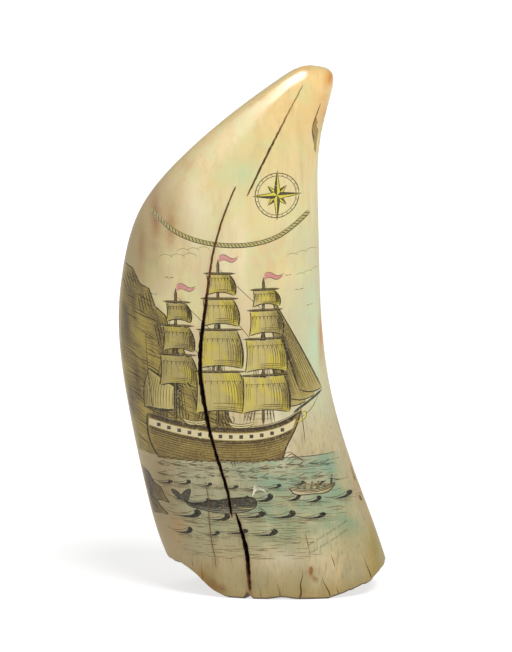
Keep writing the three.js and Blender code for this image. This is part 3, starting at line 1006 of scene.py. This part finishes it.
def lookout(x, z):
    """A plain little figure who stands in the bow with a pole."""
    body = [(x, z + 1.0), (x + 0.9, z + 1.0), (x + 0.8, z + 3.4), (x + 0.3, z + 3.6), (x, z + 2.6)]
    draw.fill(closed(body, 0.9), WHALE_DARK)
    draw.fill(arc(x + 0.6, z + 4.1, 0.38, 0.44, 0, 300, 0.25), SOFT_INK)
    rule((x - 0.8, z + 3.6), (x + 3.6, z + 2.4), 0.2, INK, 0.9)


def rowing_boat(x, z):
    """An open boat with its crew."""
    for i in range(5):
        rower(x - 4.4 + 2.1 * i, z)
    lookout(x + 6.0, z)
    top = smooth([(x - 7.6, z + 1.9), (x - 3, z + 0.9), (x + 3, z + 0.8), (x + 7.9, z + 2.1)], 0.8)
    low = smooth([(x + 7.9, z + 2.1), (x + 6, z - 0.3), (x, z - 0.9), (x - 5.8, z - 0.4),
                  (x - 7.6, z + 1.9)], 0.8)
    draw.fill(np.concatenate([top, low[1:-1]]), gradient(x - 8, x + 8, PORT_BAND, SAIL_DARK))
    for drop in (0, 0.45, 0.9):
        draw.stroke(top - [0, drop], 0.26, taper=0.05)
    draw.stroke(low, 0.34, taper=0.05)


# The rope that swags below the star: its route, width and the pitch of its strands
SWAG = [(-32, 125), (-24, 119.2), (-12, 115.6), (0, 115.4), (10, 118.2), (18.6, 124.5)]
ROPE_WIDTH = 1.3
ROPE_PITCH = 1.15
# Clouds and gulls: x, height, size
CLOUDS = ((-27, 110, 4.2), (-21.5, 112.4, 3.6), (16, 104, 2.6), (13.4, 110.4, 3.2))
GULLS = ((-26, 104, 3.4), (15.5, 99.5, 3), (18.8, 94, 2.4), (12, 104.6, 2.2), (-31, 98.5, 2.6))
# The compass star: middle and radius, then the reach of its diagonal points and of its main ones
STAR = (8.4, 130.6, 7.2)
STAR_POINTS = ((0.62, 45), (1.12, 0))
STAR_WAIST = 0.2
STAR_RINGS = (0.98, 0.86)


def gull(x, z, span):
    """A gull far off, as two wings."""
    for side in (-1, 1):
        wing = [(x, z), (x + side * span * 0.25, z + span * 0.2), (x + side * span * 0.5, z + span * 0.08)]
        curve(wing, 0.24, INK, 0.6, taper=0.6)


def rope(points):
    """A laid rope along a route: two edges and a slanting strand line at each pitch."""
    route = smooth(points, 0.9)
    aside = across(route) * ROPE_WIDTH / 2
    far = chord(route)
    draw.fill(np.concatenate([route + aside, (route - aside)[::-1]]), ROPE_OLIVE)

    def spot(s, off):
        return np.array([np.interp(s, far, route[:, k] + aside[:, k] * off) for k in (0, 1)])
    for s in np.arange(0.2, far[-1] - ROPE_PITCH, ROPE_PITCH):
        strand = ((0, 0.98), (0.3, 0.55), (0.85, -0.5), (1.1, -0.98))
        curve([spot(s + share * ROPE_PITCH, off) for share, off in strand], 0.26, INK, 0.5)
    draw.stroke(route + aside, 0.22, SOFT_INK, taper=0.02)
    draw.stroke(route - aside, 0.3, taper=0.02)


def compass_star(x, z, size):
    """An eight-pointed compass star in a double ring."""
    def at(share, degrees):
        turn = math.radians(degrees)
        return x + math.cos(turn) * size * share, z + math.sin(turn) * size * share
    for share, width in zip(STAR_RINGS, (0.28, 0.2)):
        draw.stroke(arc(x, z, size * share, size * share, 0, 359.5, 1.0), width, taper=0.01)
    for turn in range(0, 360, 15):
        rule(at(STAR_RINGS[1], turn), at(STAR_RINGS[0], turn), 0.2, INK, 0.4, depth=None)
    for reach, offset in STAR_POINTS:
        for turn in range(offset, 360 + offset, 90):
            for side, colour in ((1, INK), (-1, BRIGHT_YELLOW)):
                tip, knee = at(reach, turn), at(STAR_WAIST, turn + side * 45)
                draw.fill(closed([(x, z), knee, tip], 1.1), colour)
                rule(knee, tip, 0.24, INK, 1.1)


def cloud_lines():
    """A few light lines of cloud."""
    for x, z, size in CLOUDS:
        for k in range(3):
            puff = arc(x + k * size * 0.9, z + 0.4 * k, size * 0.6, size * 0.42, 15, 165, 0.8)
            draw.stroke(puff, 0.18, PALE_INK)


def stroke_rows():
    """Rows of small shallow slanting strokes that say nothing."""
    for row in range(2):
        place, end = np.array([18.4, 17.6 - 2.9 * row]), 31.5 - row * 1.5
        while place[0] < end:
            for _ in range(rng.choice((3, 4, 5))):
                rule(place, place + [0.35, rng.uniform(0.9, 1.35)], 0.2, SOFT_INK, 0.5)
                place = place + [0.62, 0.33]
            place = place + [0.75, 0.4]


def picture():
    """The whole picture, from what lies behind to what lies in front."""
    cloud_lines()
    compass_star(*STAR)
    rope(SWAG)
    for place in GULLS:
        gull(*place)
    sea()
    coast()
    ship()
    sea_front()
    rocks()
    whale(-9, 29.5, 0.95)
    rowing_boat(19.5, 35.2)
    stroke_rows()


# Thin washes: x, height, half width, half height, strength, colour
WASHES = (
    (21, 84, 13, 34, 0.8, linear(182, 206, 170)),
    (17, 116, 9, 16, 0.3, linear(186, 204, 168)),
    (-3, 138, 8, 7, 0.9, linear(176, 202, 156)),
    (5, 146, 16, 8, 0.35, linear(200, 202, 140)),
    (12, 60, 12, 8, 0.3, linear(190, 196, 160)),
    (-16, 117, 10, 8, 0.25, linear(196, 204, 160)),
    (-25, 124, 9, 12, 0.55, linear(160, 124, 88)),
    (-31, 112, 8, 16, 0.5, linear(146, 120, 74)),
    (-30.5, 122, 2.2, 13, 0.9, linear(150, 104, 62)),
    (-25.5, 120, 1.8, 9, 0.8, linear(160, 114, 70)),
    (-35, 112, 1.8, 12, 0.7, linear(150, 112, 70)),
    (-18, 126, 6, 12, 0.5, linear(234, 224, 198)),
    (-30, 130, 6, 16, 0.45, linear(168, 128, 92)),
    (6, 124, 14, 7, 0.3, linear(232, 200, 136)),
    (12, 105, 9, 9, 0.3, linear(236, 222, 170)),
    (22.7, 84, 1.5, 16, 1.1, linear(186, 126, 60)),
    (24, 158, 7, 12, 0.7, linear(216, 158, 84)),
    (25.6, 166.5, 2.6, 5, 1.5, linear(206, 132, 48)),
    (14, 169.4, 12, 2, 0.5, linear(222, 160, 74)),
    (-14.5, 7.5, 7, 6, 0.7, linear(140, 112, 54)),
    (-12.6, 4.4, 2.4, 3.4, 2.2, linear(120, 80, 8)),
    (-15.4, 6.8, 1.8, 2.6, 1.4, linear(150, 104, 26)),
    (-10, 3.0, 3.2, 2.4, 1.5, linear(124, 84, 22)),
    (-23.5, 22, 3.0, 9, 0.7, linear(176, 132, 78)),
    (19.2, 9.6, 1.8, 2.6, 1.2, linear(150, 104, 56)),
    (20.4, 6.6, 0.8, 0.8, 1.5, linear(140, 90, 44)),
    (40, 13, 5, 16, 0.9, linear(142, 122, 52)),
    (16, 4, 2.5, 5, 0.7, linear(140, 120, 60)),
    (24, 3, 3, 4, 0.6, linear(140, 112, 56)),
    (10, 14, 16, 6, 0.45, linear(206, 196, 168)),
    (0, 5, 40, 6, 0.45, linear(140, 124, 78)),
    (-28, 36, 8, 26, 0.8, linear(132, 110, 68)),
    (36, 34, 4, 10, 0.6, linear(150, 122, 72)),
)
STAIN_BROWN = linear(124, 84, 40)
# Stains that have crept out of cracks: route from the foot up, reach, heights, strengths there
STAINS = (
    (np.concatenate([FOOT_CRACK[::-1], MAIN_CRACK[-2::-1]])[:, :2], 1.9,
     [0, 22, 40, 60, 110, 126, 132], [0.9, 0.8, 0.5, 0.2, 0.2, 0.25, 0]),
    (np.array(FINE_CRACKS[0][0][::-1]), 1.3, [8, 11, 30, 40, 42], [0, 0.5, 0.5, 0.3, 0]),
)


def laid_over(under, colour, cover):
    """Paint over paint, each a colour and how far it covers."""
    total = cover + under[..., 3:] * (1 - cover)
    mixed = (colour * cover + under[..., :3] * under[..., 3:] * (1 - cover)) / np.maximum(total, TINY)
    return np.concatenate([mixed, total], -1)


def washes(x, z):
    """Colours laid thinly over the ivory, under every line."""
    laid = np.zeros((*x.shape, 4))
    for cx, cz, rx, rz, strength, colour in WASHES:
        far = np.hypot((x - cx) / rx, (z - cz) / rz)
        share = np.clip(1.1 - far, 0, 1) ** 1.3 * strength * (0.45 + 0.75 * mottle(x + cx, z, 2.6))
        laid = laid_over(laid, np.array(colour[:3]), np.clip(share, 0, 1)[..., None])
    for route, reach, heights, strengths in STAINS:
        far = np.abs(x - np.interp(z, route[:, 1], route[:, 0])) / reach
        share = np.clip(1 - far, 0, 1) ** 1.4 * np.interp(z, heights, strengths)
        share = share * (0.5 + 0.7 * mottle(x * 3, z * 1.5, 1.4))
        laid = laid_over(laid, np.array(STAIN_BROWN[:3]), np.clip(share, 0, 1)[..., None])
    return laid


# The mesh: steps between its points at the front, at the back and in the cavity, and how far round
# the front reaches
FRONT_STEP = 1.35
BACK_STEP = 2.4
CAVITY_STEP = 3.0
FRONT_REACH = math.radians(105)
# Points that are packed closer round the notch: reach to each side, steps across and up
NOTCH_REACH = 2.6
NOTCH_STEPS = (0.35, 0.45)
# How near a base point may lie to a drawn one
CLEARANCE = 0.4


def sheet_rows():
    """The v of each row of base points, from the deepest to the tip."""
    rim = list(-np.linspace(0, ROUND_END, 5)) + list(-np.linspace(ROUND_END, FLAT_END, 5)[1:])
    rim += list(-np.linspace(FLAT_END, MOUTH_END, 4)[1:])
    cavity = list(-np.linspace(MOUTH_END, DEEPEST, int(CAVITY_RUN / CAVITY_STEP) + 1)[1:-1])
    body = list(np.linspace(0, TIP_V, int(TIP_V / FRONT_STEP) + 1)[1:-1])
    return sorted(set(rim + cavity + body))


def row_angles(v, radius, odd):
    """The angles of a row's base points, set over by half a step in every other row."""
    if v < -MOUTH_END:
        count = max(3, int(2 * math.pi * radius / CAVITY_STEP))
        return [-math.pi + 2 * math.pi * (i + 0.5 * odd) / count for i in range(count)]
    count = max(2, int(2 * FRONT_REACH * radius / FRONT_STEP))
    angles = [(-1 + 2 * (i + odd / 2) / count) * FRONT_REACH for i in range(count)]
    if v < 0 or odd:
        side = math.pi - FRONT_REACH
        count = max(1, int(side * radius / BACK_STEP))
        for i in range(1, count):
            angles += [FRONT_REACH + side * i / count, -FRONT_REACH - side * i / count]
    return angles


def base_points(taken):
    """Rows of points over the sheet, kept off the points that the drawing has already."""
    points = []
    for number, v in enumerate(sheet_rows()):
        radius = float(sheet_radius(v))
        seam = math.pi - 0.6 * FRONT_STEP / max(radius, 0.5)
        points += [(theta * radius, v) for theta in row_angles(v, radius, number % 2) if abs(theta) < seam]
    middle, width, _ = section(0.0)
    foot = wrapped(np.arcsin((FOOT_X - middle) / width), 0.0)[0]
    for du in np.arange(-NOTCH_REACH, NOTCH_REACH, NOTCH_STEPS[0]):
        for v in np.arange(-FLAT_END - 1, 3, NOTCH_STEPS[1]):
            points.append((foot + du, v))
    near = {}
    for u, v in taken:
        near.setdefault((int(u // CLEARANCE), int(v // CLEARANCE)), []).append((u, v))

    def clear(u, v):
        i, j = int(u // CLEARANCE), int(v // CLEARANCE)
        cells = (near.get((a, b), ()) for a in (i - 1, i, i + 1) for b in (j - 1, j, j + 1))
        return not any(math.hypot(u - p, v - q) < CLEARANCE for cell in cells for p, q in cell)
    return [point for point in points if clear(*point)]


class Spots:
    """Places on the sheet, sorted by v so that those within an outline are found quickly."""

    def __init__(self, places):
        self.order = np.argsort(places[:, 1], kind="stable")
        self.u, self.v = places[self.order].T

    def inside(self, outline):
        """The numbers of the places within a closed outline."""
        (low_u, low_v), (high_u, high_v) = outline.min(0), outline.max(0)
        first, last = np.searchsorted(self.v, (low_v, high_v))
        near = first + np.nonzero((self.u[first:last] > low_u) & (self.u[first:last] < high_u))[0]
        u, v = self.u[near], self.v[near]
        odd = np.zeros(len(near), bool)
        for (au, av), (bu, bv) in zip(outline.tolist(), np.roll(outline, -1, axis=0).tolist()):
            if av != bv:
                odd ^= ((av > v) != (bv > v)) & (u < au + (v - av) * ((bu - au) / (bv - av)))
        return np.sort(self.order[near[odd]])


def triangulate():
    """The sheet cut into triangles along everything drawn on it, and which of its points meet at the back."""
    right = [(math.pi * float(sheet_radius(v)), v) for v in sheet_rows()]
    border = [(0.0, -DEEPEST), *right, (0.0, TIP_V), *((-u, v) for u, v in reversed(right))]
    drawn = [tuple(map(float, p)) for p in draw.points]
    shift, count = len(border), len(right)
    points = [Vector(p) for p in border + drawn + base_points(drawn)]
    edges = [(i, (i + 1) % shift) for i in range(shift)] + [(a + shift, b + shift) for a, b in draw.edges]
    verts, _, tris, origin, _, _ = delaunay_2d_cdt(points, edges, [], 0, 1e-4, True)
    place_of = {old: new for new, olds in enumerate(origin) for old in olds if old < shift}
    meets = {place_of[shift - 1 - i]: place_of[1 + i] for i in range(count)}
    sheet, corners = np.array([tuple(v) for v in verts]), np.array(tris)
    return sheet, corners[Spots(sheet[corners].mean(1)).inside(np.array(border))], meets


def groove_depths(spots, spine):
    """How deep places lie in a groove, from its middle line, half widths and depths."""
    middles, halves, depths = spine
    start, way = middles[:-1], np.diff(middles, axis=0)
    share = ((spots[:, None] - start) * way).sum(-1) / np.maximum((way ** 2).sum(-1), TINY * TINY)
    share = np.clip(share, 0, 1)
    far = np.linalg.norm(spots[:, None] - start - way * share[..., None], axis=-1)
    nearest = far.argmin(1)
    rows = np.arange(len(spots))
    share = share[rows, nearest]
    half = halves[nearest] * (1 - share) + halves[nearest + 1] * share
    deep = depths[nearest] * (1 - share) + depths[nearest + 1] * share
    return deep * np.clip(1 - far[rows, nearest] / np.maximum(half, TINY), 0, 1)


def lay_drawing(sheet, corners):
    """Which triangles each shape covers where nothing later hides it, and how deep the points are sunk."""
    centres = Spots(sheet[corners].mean(1))
    deep, cut = np.zeros(len(sheet)), np.zeros(len(corners), bool)
    top = np.full(len(corners), -1)
    covers = [centres.inside(outline) for outline, *_ in draw.shapes]
    for number, (_, _, hide, _, _) in enumerate(draw.shapes):
        if hide:
            top[covers[number]] = number
    for number, (*_, spine) in enumerate(draw.shapes):
        rows = covers[number] = covers[number][top[covers[number]] <= number]
        if spine is not None and len(rows):
            cut[rows] = True
            held = np.unique(corners[rows])
            deep[held] = np.maximum(deep[held], groove_depths(sheet[held], spine))
    return covers, deep, cut


def outward(sheet):
    """The skin's own direction outwards at places on the sheet."""
    step = 0.04
    u, v = sheet.T
    normal = np.cross(skin(u + step, v) - skin(u - step, v), skin(u, v + step) - skin(u, v - step))
    return normal / np.maximum(np.linalg.norm(normal, axis=1, keepdims=True), TINY * TINY)


def paint_corners(corners, covers, spots, facing):
    """The colours laid on each corner of each triangle, in the order that they were drawn."""
    x, z = spots[corners][..., 0], spots[corners][..., 2]
    colour = washes(x, z)
    colour[..., 3] *= facing[corners]
    dull = np.zeros((len(corners), 3))
    for rows, (_, paint, hide, dullness, _) in zip(covers, draw.shapes):
        if len(rows):
            laid = paint(x[rows], z[rows]) if callable(paint) else np.broadcast_to(paint, (len(rows), 3, 4))
            if hide:
                colour[rows] = 0
            colour[rows] = laid_over(colour[rows], laid[..., :3], laid[..., 3:])
            dull[rows] = np.maximum(dull[rows], dullness)
    return colour, dull


def new_mesh(points, faces):
    """A smooth mesh of triangles from points in millimetres."""
    mesh = bpy.data.meshes.new("tooth_ivory")
    mesh.vertices.add(len(points))
    mesh.vertices.foreach_set("co", (points * MM).ravel())
    mesh.loops.add(faces.size)
    mesh.loops.foreach_set("vertex_index", faces.ravel())
    mesh.polygons.add(len(faces))
    mesh.polygons.foreach_set("loop_start", np.arange(0, faces.size, 3))
    mesh.update(calc_edges=True)
    mesh.validate()
    mesh.polygons.foreach_set("use_smooth", np.ones(len(faces), bool))
    return mesh


def set_normals(mesh, points, faces, normal, cut):
    """The skin's own direction at each corner, but the triangle's in cracks and at sharp edges."""
    a, b, c = (points[faces[:, k]] for k in range(3))
    flat = np.cross(b - a, c - a)
    flat /= np.maximum(np.linalg.norm(flat, axis=1, keepdims=True), TINY * TINY)
    steep = (normal[faces] * flat[:, None]).sum(-1) < 0.5
    loops = np.where((cut[:, None] | steep)[..., None], flat[:, None], normal[faces])
    mesh.normals_split_custom_set(loops.reshape(-1, 3))


def tooth_mesh():
    """The sheet cut along the drawing, wrapped, sunk where it is cut, painted and closed at the back."""
    sheet, corners, meets = triangulate()
    covers, deep, cut = lay_drawing(sheet, corners)
    spots, normal = skin(*sheet.T), outward(sheet)
    theta = sheet[:, 0] / np.maximum(sheet_radius(sheet[:, 1]), TINY)
    facing = np.clip(np.cos(theta) * 3 + 0.4, 0, 1) * (sheet[:, 1] > -ROUND_END)
    colour, dull = paint_corners(corners, covers, spots, facing)
    joined = np.array([meets.get(i, i) for i in range(len(sheet))])
    faces = joined[corners]
    whole = (faces[:, 0] != faces[:, 1]) & (faces[:, 1] != faces[:, 2]) & (faces[:, 2] != faces[:, 0])
    faces, colour, dull, cut = faces[whole], colour[whole], dull[whole], cut[whole]
    used, compact = np.unique(faces, return_inverse=True)
    faces = compact.reshape(faces.shape)
    points = (spots - normal * deep[:, None])[used]
    points[:, 0] += (LOWEST[0] + HIGHEST[0]) / 2 - (points[:, 0].min() + points[:, 0].max()) / 2
    mesh = new_mesh(points, faces)
    mesh.color_attributes.new("Ink", "FLOAT_COLOR", "CORNER").data.foreach_set("color", colour.ravel())
    for name, domain, values in (("Dull", "CORNER", dull.ravel()), ("Side", "POINT", np.sin(theta[used])),
                                 ("Rim", "POINT", sheet[used, 1])):
        mesh.attributes.new(name, "FLOAT", domain).data.foreach_set("value", values)
    set_normals(mesh, points, faces, normal[used], cut)
    return mesh


# Bare ivory up the tooth, its darkening towards the root partly the root's own colour and partly painted
# shade: share of the height, colour
IVORY_AND_SHADE_STOPS = [
    (0.0, linear(140, 124, 82)), (0.06, linear(164, 148, 105)), (0.25, linear(170, 154, 118)),
    (0.45, linear(196, 181, 144)), (0.65, linear(204, 187, 146)), (0.8, linear(218, 204, 154)),
    (0.92, linear(224, 197, 138)), (1.0, linear(236, 204, 140)),
]
# Noise for patches: scale in waves for each metre, stretch, detail
PATCHES = (60, (1, 1, 0.5), 6.0)
# Streaks and patches in the ivory: noise, from and to which of its values they show, how much, colour,
# and which part of the tooth they lie on
VEINS = (
    ((210, (1, 1, 0.09), 4.0), 0.48, 0.75, 0.5, linear(196, 168, 118), "all"),
    ((900, (1, 1, 0.05), 4.0), 0.5, 0.8, 0.3, linear(176, 150, 106), "all"),
    (PATCHES, 0.5, 0.72, 0.4, linear(206, 174, 114), "all"),
    ((45, (1.3, 1.3, 0.4), 5.0), 0.55, 0.75, 0.5, linear(240, 226, 190), "all"),
    ((165, (1, 1, 0.7), 8.0), 0.48, 0.62, 0.5, linear(208, 206, 148), "upper"),
    ((240, (1, 1, 0.8), 9.0), 0.52, 0.64, 0.3, linear(220, 186, 120), "upper"),
    ((1300, (1, 1, 0.22), 3.0), 0.5, 0.7, 1.0, linear(124, 112, 80), "lower"),
    ((75, (1, 1, 0.6), 6.0), 0.48, 0.66, 1.0, linear(146, 144, 112), "lower"),
)
# Browner at the left side, partly as painted shade turned from the light, at both sides, where the root's
# edge is soaked, on that edge, with painted shade where it rounds under towards the floor, and inside
LEFT_SHADE_AND_BROWN = linear(158, 136, 96)
TURNED_BROWN = linear(168, 138, 84)
SOAKED_BROWN = linear(142, 118, 58)
EDGE_SHADE_AND_BROWN = linear(54, 34, 16)
CAVITY_BROWN = linear(150, 122, 80)


def wire(tree, kind, inputs, output=0, **settings):
    """Makes a node, feeds its inputs with sockets or plain values, and gives one of its outputs."""
    made = tree.nodes.new("ShaderNode" + kind)
    for name, value in settings.items():
        setattr(made, name, value)
    for slot, source in inputs.items():
        if isinstance(source, bpy.types.NodeSocket):
            tree.links.new(source, made.inputs[slot])
        else:
            made.inputs[slot].default_value = source
    return made.outputs[output]


def ramp(tree, value, stops):
    """A colour ramp through stops of place and colour."""
    made = tree.nodes.new("ShaderNodeValToRGB")
    elements = made.color_ramp.elements
    elements[0].position, elements[0].color = stops[0]
    elements[1].position, elements[1].color = stops[-1]
    for place, colour in stops[1:-1]:
        elements.new(place).color = colour
    tree.links.new(value, made.inputs[0])
    return made.outputs[0]


def between(tree, value, low, high, most=1.0):
    """Rises smoothly from 0 to most while value goes from low to high."""
    return wire(tree, "MapRange", {"Value": value, "From Min": low, "From Max": high, "To Max": most},
                interpolation_type="SMOOTHSTEP")


def worked(tree, operation, *values):
    """A sum or product and the like of sockets and plain values."""
    return wire(tree, "Math", dict(enumerate(values)), operation=operation)


def measured(tree, name, output="Fac"):
    """What the mesh says at each point or corner under a name."""
    return wire(tree, "Attribute", {}, output, attribute_name=name)


def noise(tree, place, scale, stretch=(1, 1, 1), detail=4.0):
    """Uneven values about 0.5; scale is in waves for each metre."""
    spread = wire(tree, "Mapping", {"Vector": place, "Scale": stretch})
    return wire(tree, "TexNoise", {"Vector": spread, "Scale": scale, "Detail": detail}, "Fac")


def tinted(tree, share, under, colour):
    """Lays a colour over another by a share."""
    return wire(tree, "Mix", {0: share, 6: under, 7: colour}, 2, data_type="RGBA")


def ivory_colour(tree, place, height):
    """Cream, amber at the tip, browner and greyer at the root, the left side and in fine streaks, with
    painted shade in the darkening towards the root, down the left side and on the round under the root's
    edge.
    """
    side, rim = measured(tree, "Side"), measured(tree, "Rim")
    shifted = worked(tree, "MULTIPLY_ADD", noise(tree, place, 28), 0.016, height)
    # Lighter up the tooth: the root's own darker colour, with painted shade towards the floor
    colour = ramp(tree, worked(tree, "DIVIDE", shifted, HEIGHT * MM), IVORY_AND_SHADE_STOPS)
    parts = {"upper": between(tree, height, 0.03, 0.1), "lower": between(tree, height, 0.1, 0.03, 0.5)}
    for kind, start, end, most, tint, part in VEINS:
        share = between(tree, noise(tree, place, *kind), start, end, most)
        if part in parts:
            share = worked(tree, "MULTIPLY", share, parts[part])
        colour = tinted(tree, share, colour, tint)
    # Painted shade down the left side, away from the light, with the ivory's own browning there
    left_shade_share = worked(tree, "MULTIPLY", between(tree, side, -0.5, -0.97),
                        between(tree, height, 0.15, 0.11, 0.74))
    turned = between(tree, worked(tree, "ABSOLUTE", side), 0.94, 1.0, 0.14)
    creeping = worked(tree, "MULTIPLY_ADD", noise(tree, place, *PATCHES), -9.0, rim)
    for share, tint in ((left_shade_share, LEFT_SHADE_AND_BROWN), (turned, TURNED_BROWN),
                        (between(tree, creeping, 0.0, -6.0, 0.6), SOAKED_BROWN),
                        # Nearly black on the round under the root's edge: the edge's own brown, darkened as
                        # painted shade where it faces the floor
                        (between(tree, rim, -0.3, -1.0, 0.96), EDGE_SHADE_AND_BROWN),
                        (between(tree, rim, -1.5, -10), CAVITY_BROWN)):
        colour = tinted(tree, share, colour, tint)
    return colour


def ivory_material():
    """Old polished tooth ivory, with the ink and the colours that are laid on it."""
    material = bpy.data.materials.new("ivory")
    material.use_nodes = True
    tree = material.node_tree
    tree.nodes.clear()
    place = wire(tree, "TexCoord", {}, "Object")
    height = wire(tree, "SeparateXYZ", {0: place}, 2)
    worn = wire(tree, "MapRange", {"Value": noise(tree, place, 1400, detail=2.0), "From Min": 0.3,
                                   "From Max": 0.45, "To Min": 0.72})
    cover = worked(tree, "MULTIPLY", measured(tree, "Ink", "Alpha"), worn)
    painted = tinted(tree, cover, ivory_colour(tree, place, height), measured(tree, "Ink", "Color"))
    gloss = wire(tree, "MapRange", {"Value": noise(tree, place, 90, detail=3.0), "From Min": 0.3,
                                    "From Max": 0.7, "To Min": 0.2, "To Max": 0.3})
    gloss = worked(tree, "ADD", gloss, between(tree, height, 0.161, 0.153, 0.26))
    rough = wire(tree, "Mix", {0: measured(tree, "Dull"), 2: gloss, 3: 0.85}, data_type="FLOAT")
    grain = noise(tree, place, 700, (1, 1, 0.12), 6.0)
    bump = wire(tree, "Bump", {"Strength": 0.12, "Distance": 0.0004, "Height": grain})
    shader = wire(tree, "BsdfPrincipled", {
        "Base Color": painted, "Roughness": rough, "Normal": bump, "Subsurface Weight": 0.06,
        "Subsurface Radius": (1.0, 0.7, 0.4), "Subsurface Scale": 0.002, "IOR": 1.42})
    out = tree.nodes.new("ShaderNodeOutputMaterial")
    tree.links.new(shader, out.inputs["Surface"])
    return material


def add_tooth():
    """The piece that takes the place of the solid."""
    piece = bpy.data.objects.new("tooth_ivory", tooth_mesh())
    bpy.context.scene.collection.objects.link(piece)
    piece.data.materials.append(ivory_material())
    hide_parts("whale_tooth")
    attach(piece, "root")


# The view: the photograph's frame, from a little above, with a long lens
CAMERA_RISE = math.radians(10)
CAMERA_AWAY = 3.0
CAMERA_AIM = (1.15, 0, 85.36)
FRAME_HEIGHT = 652
MM_PER_PIXEL = 0.3212
SENSOR = 36

# The light: a white room, a soft sun from the upper right and a softbox that shows only in the polish
SKY = 0.4
SUN = 2.25
SUN_ANGLE = math.radians(26)
SUN_FROM = (0.36, -0.68, 1.2)
BOX_FROM = (-0.38, 0.05, 0.92)
BOX_AIM = (0, 0, 0.16)
BOX_AWAY = 1.0
BOX_SIZE = (0.42, 0.75)
BOX_WATTS = 24
FLOOR_REACH = 12
FLOOR_GREY = 0.45
FLOOR_GLOW = 0.7


def add_camera():
    """A camera that frames the tooth as the photograph does."""
    camera = bpy.data.cameras.new("camera")
    camera.sensor_fit = "VERTICAL"
    camera.sensor_height = SENSOR
    camera.lens = SENSOR * CAMERA_AWAY / (FRAME_HEIGHT * MM_PER_PIXEL * MM)
    camera.clip_start = 0.05
    body = bpy.data.objects.new("camera", camera)
    bpy.context.scene.collection.objects.link(body)
    away = Vector((0, -math.cos(CAMERA_RISE), math.sin(CAMERA_RISE)))
    body.location = Vector(CAMERA_AIM) * MM + away * CAMERA_AWAY
    body.rotation_euler = (math.pi / 2 - CAMERA_RISE, 0, 0)
    bpy.context.scene.camera = body


def add_sun():
    """A broad sun that lights without a glint."""
    sun = bpy.data.lights.new("sun", "SUN")
    sun.energy = SUN
    sun.angle = SUN_ANGLE
    body = bpy.data.objects.new("sun", sun)
    body.rotation_euler = Vector(SUN_FROM).to_track_quat("Z", "Y").to_euler()
    body.visible_glossy = False
    bpy.context.scene.collection.objects.link(body)


def add_soft_box():
    """A lamp above the left slope that shows only in the polish."""
    lamp = bpy.data.lights.new("slope_light", "AREA")
    lamp.shape = "RECTANGLE"
    lamp.size, lamp.size_y = BOX_SIZE
    lamp.energy = BOX_WATTS
    body = bpy.data.objects.new("slope_light", lamp)
    toward = Vector(BOX_FROM).normalized()
    body.location = Vector(BOX_AIM) + toward * BOX_AWAY
    body.rotation_euler = (-math.asin(toward.y), math.atan2(toward.x, toward.z), 0)
    body.visible_diffuse = False
    bpy.context.scene.collection.objects.link(body)


def add_floor():
    """A sheet of white paper that glows a little, so that it stays white under the soft light."""
    corners = [(-1, -1, 0), (1, -1, 0), (1, 1, 0), (-1, 1, 0)]
    mesh = bpy.data.meshes.new("floor")
    mesh.from_pydata([Vector(corner) * FLOOR_REACH for corner in corners], [], [(0, 1, 2, 3)])
    floor = bpy.data.objects.new("floor", mesh)
    bpy.context.scene.collection.objects.link(floor)
    paper = bpy.data.materials.new("paper")
    paper.use_nodes = True
    shader = paper.node_tree.nodes["Principled BSDF"]
    for name, value in (("Base Color", (FLOOR_GREY, FLOOR_GREY, FLOOR_GREY, 1)), ("Roughness", 1),
                        ("Specular IOR Level", 0), ("Emission Color", (1, 1, 1, 1)),
                        ("Emission Strength", FLOOR_GLOW)):
        shader.inputs[name].default_value = value
    mesh.materials.append(paper)


def add_studio():
    """The white room with its light and floor."""
    bpy.context.scene.view_settings.view_transform = "Standard"
    world = bpy.data.worlds.new("studio")
    world.use_nodes = True
    world.node_tree.nodes["Background"].inputs["Color"].default_value = (1, 1, 1, 1)
    world.node_tree.nodes["Background"].inputs["Strength"].default_value = SKY
    bpy.context.scene.world = world
    add_sun()
    add_soft_box()
    add_floor()


picture()
add_cracks()
add_tooth()
add_camera()
add_studio()
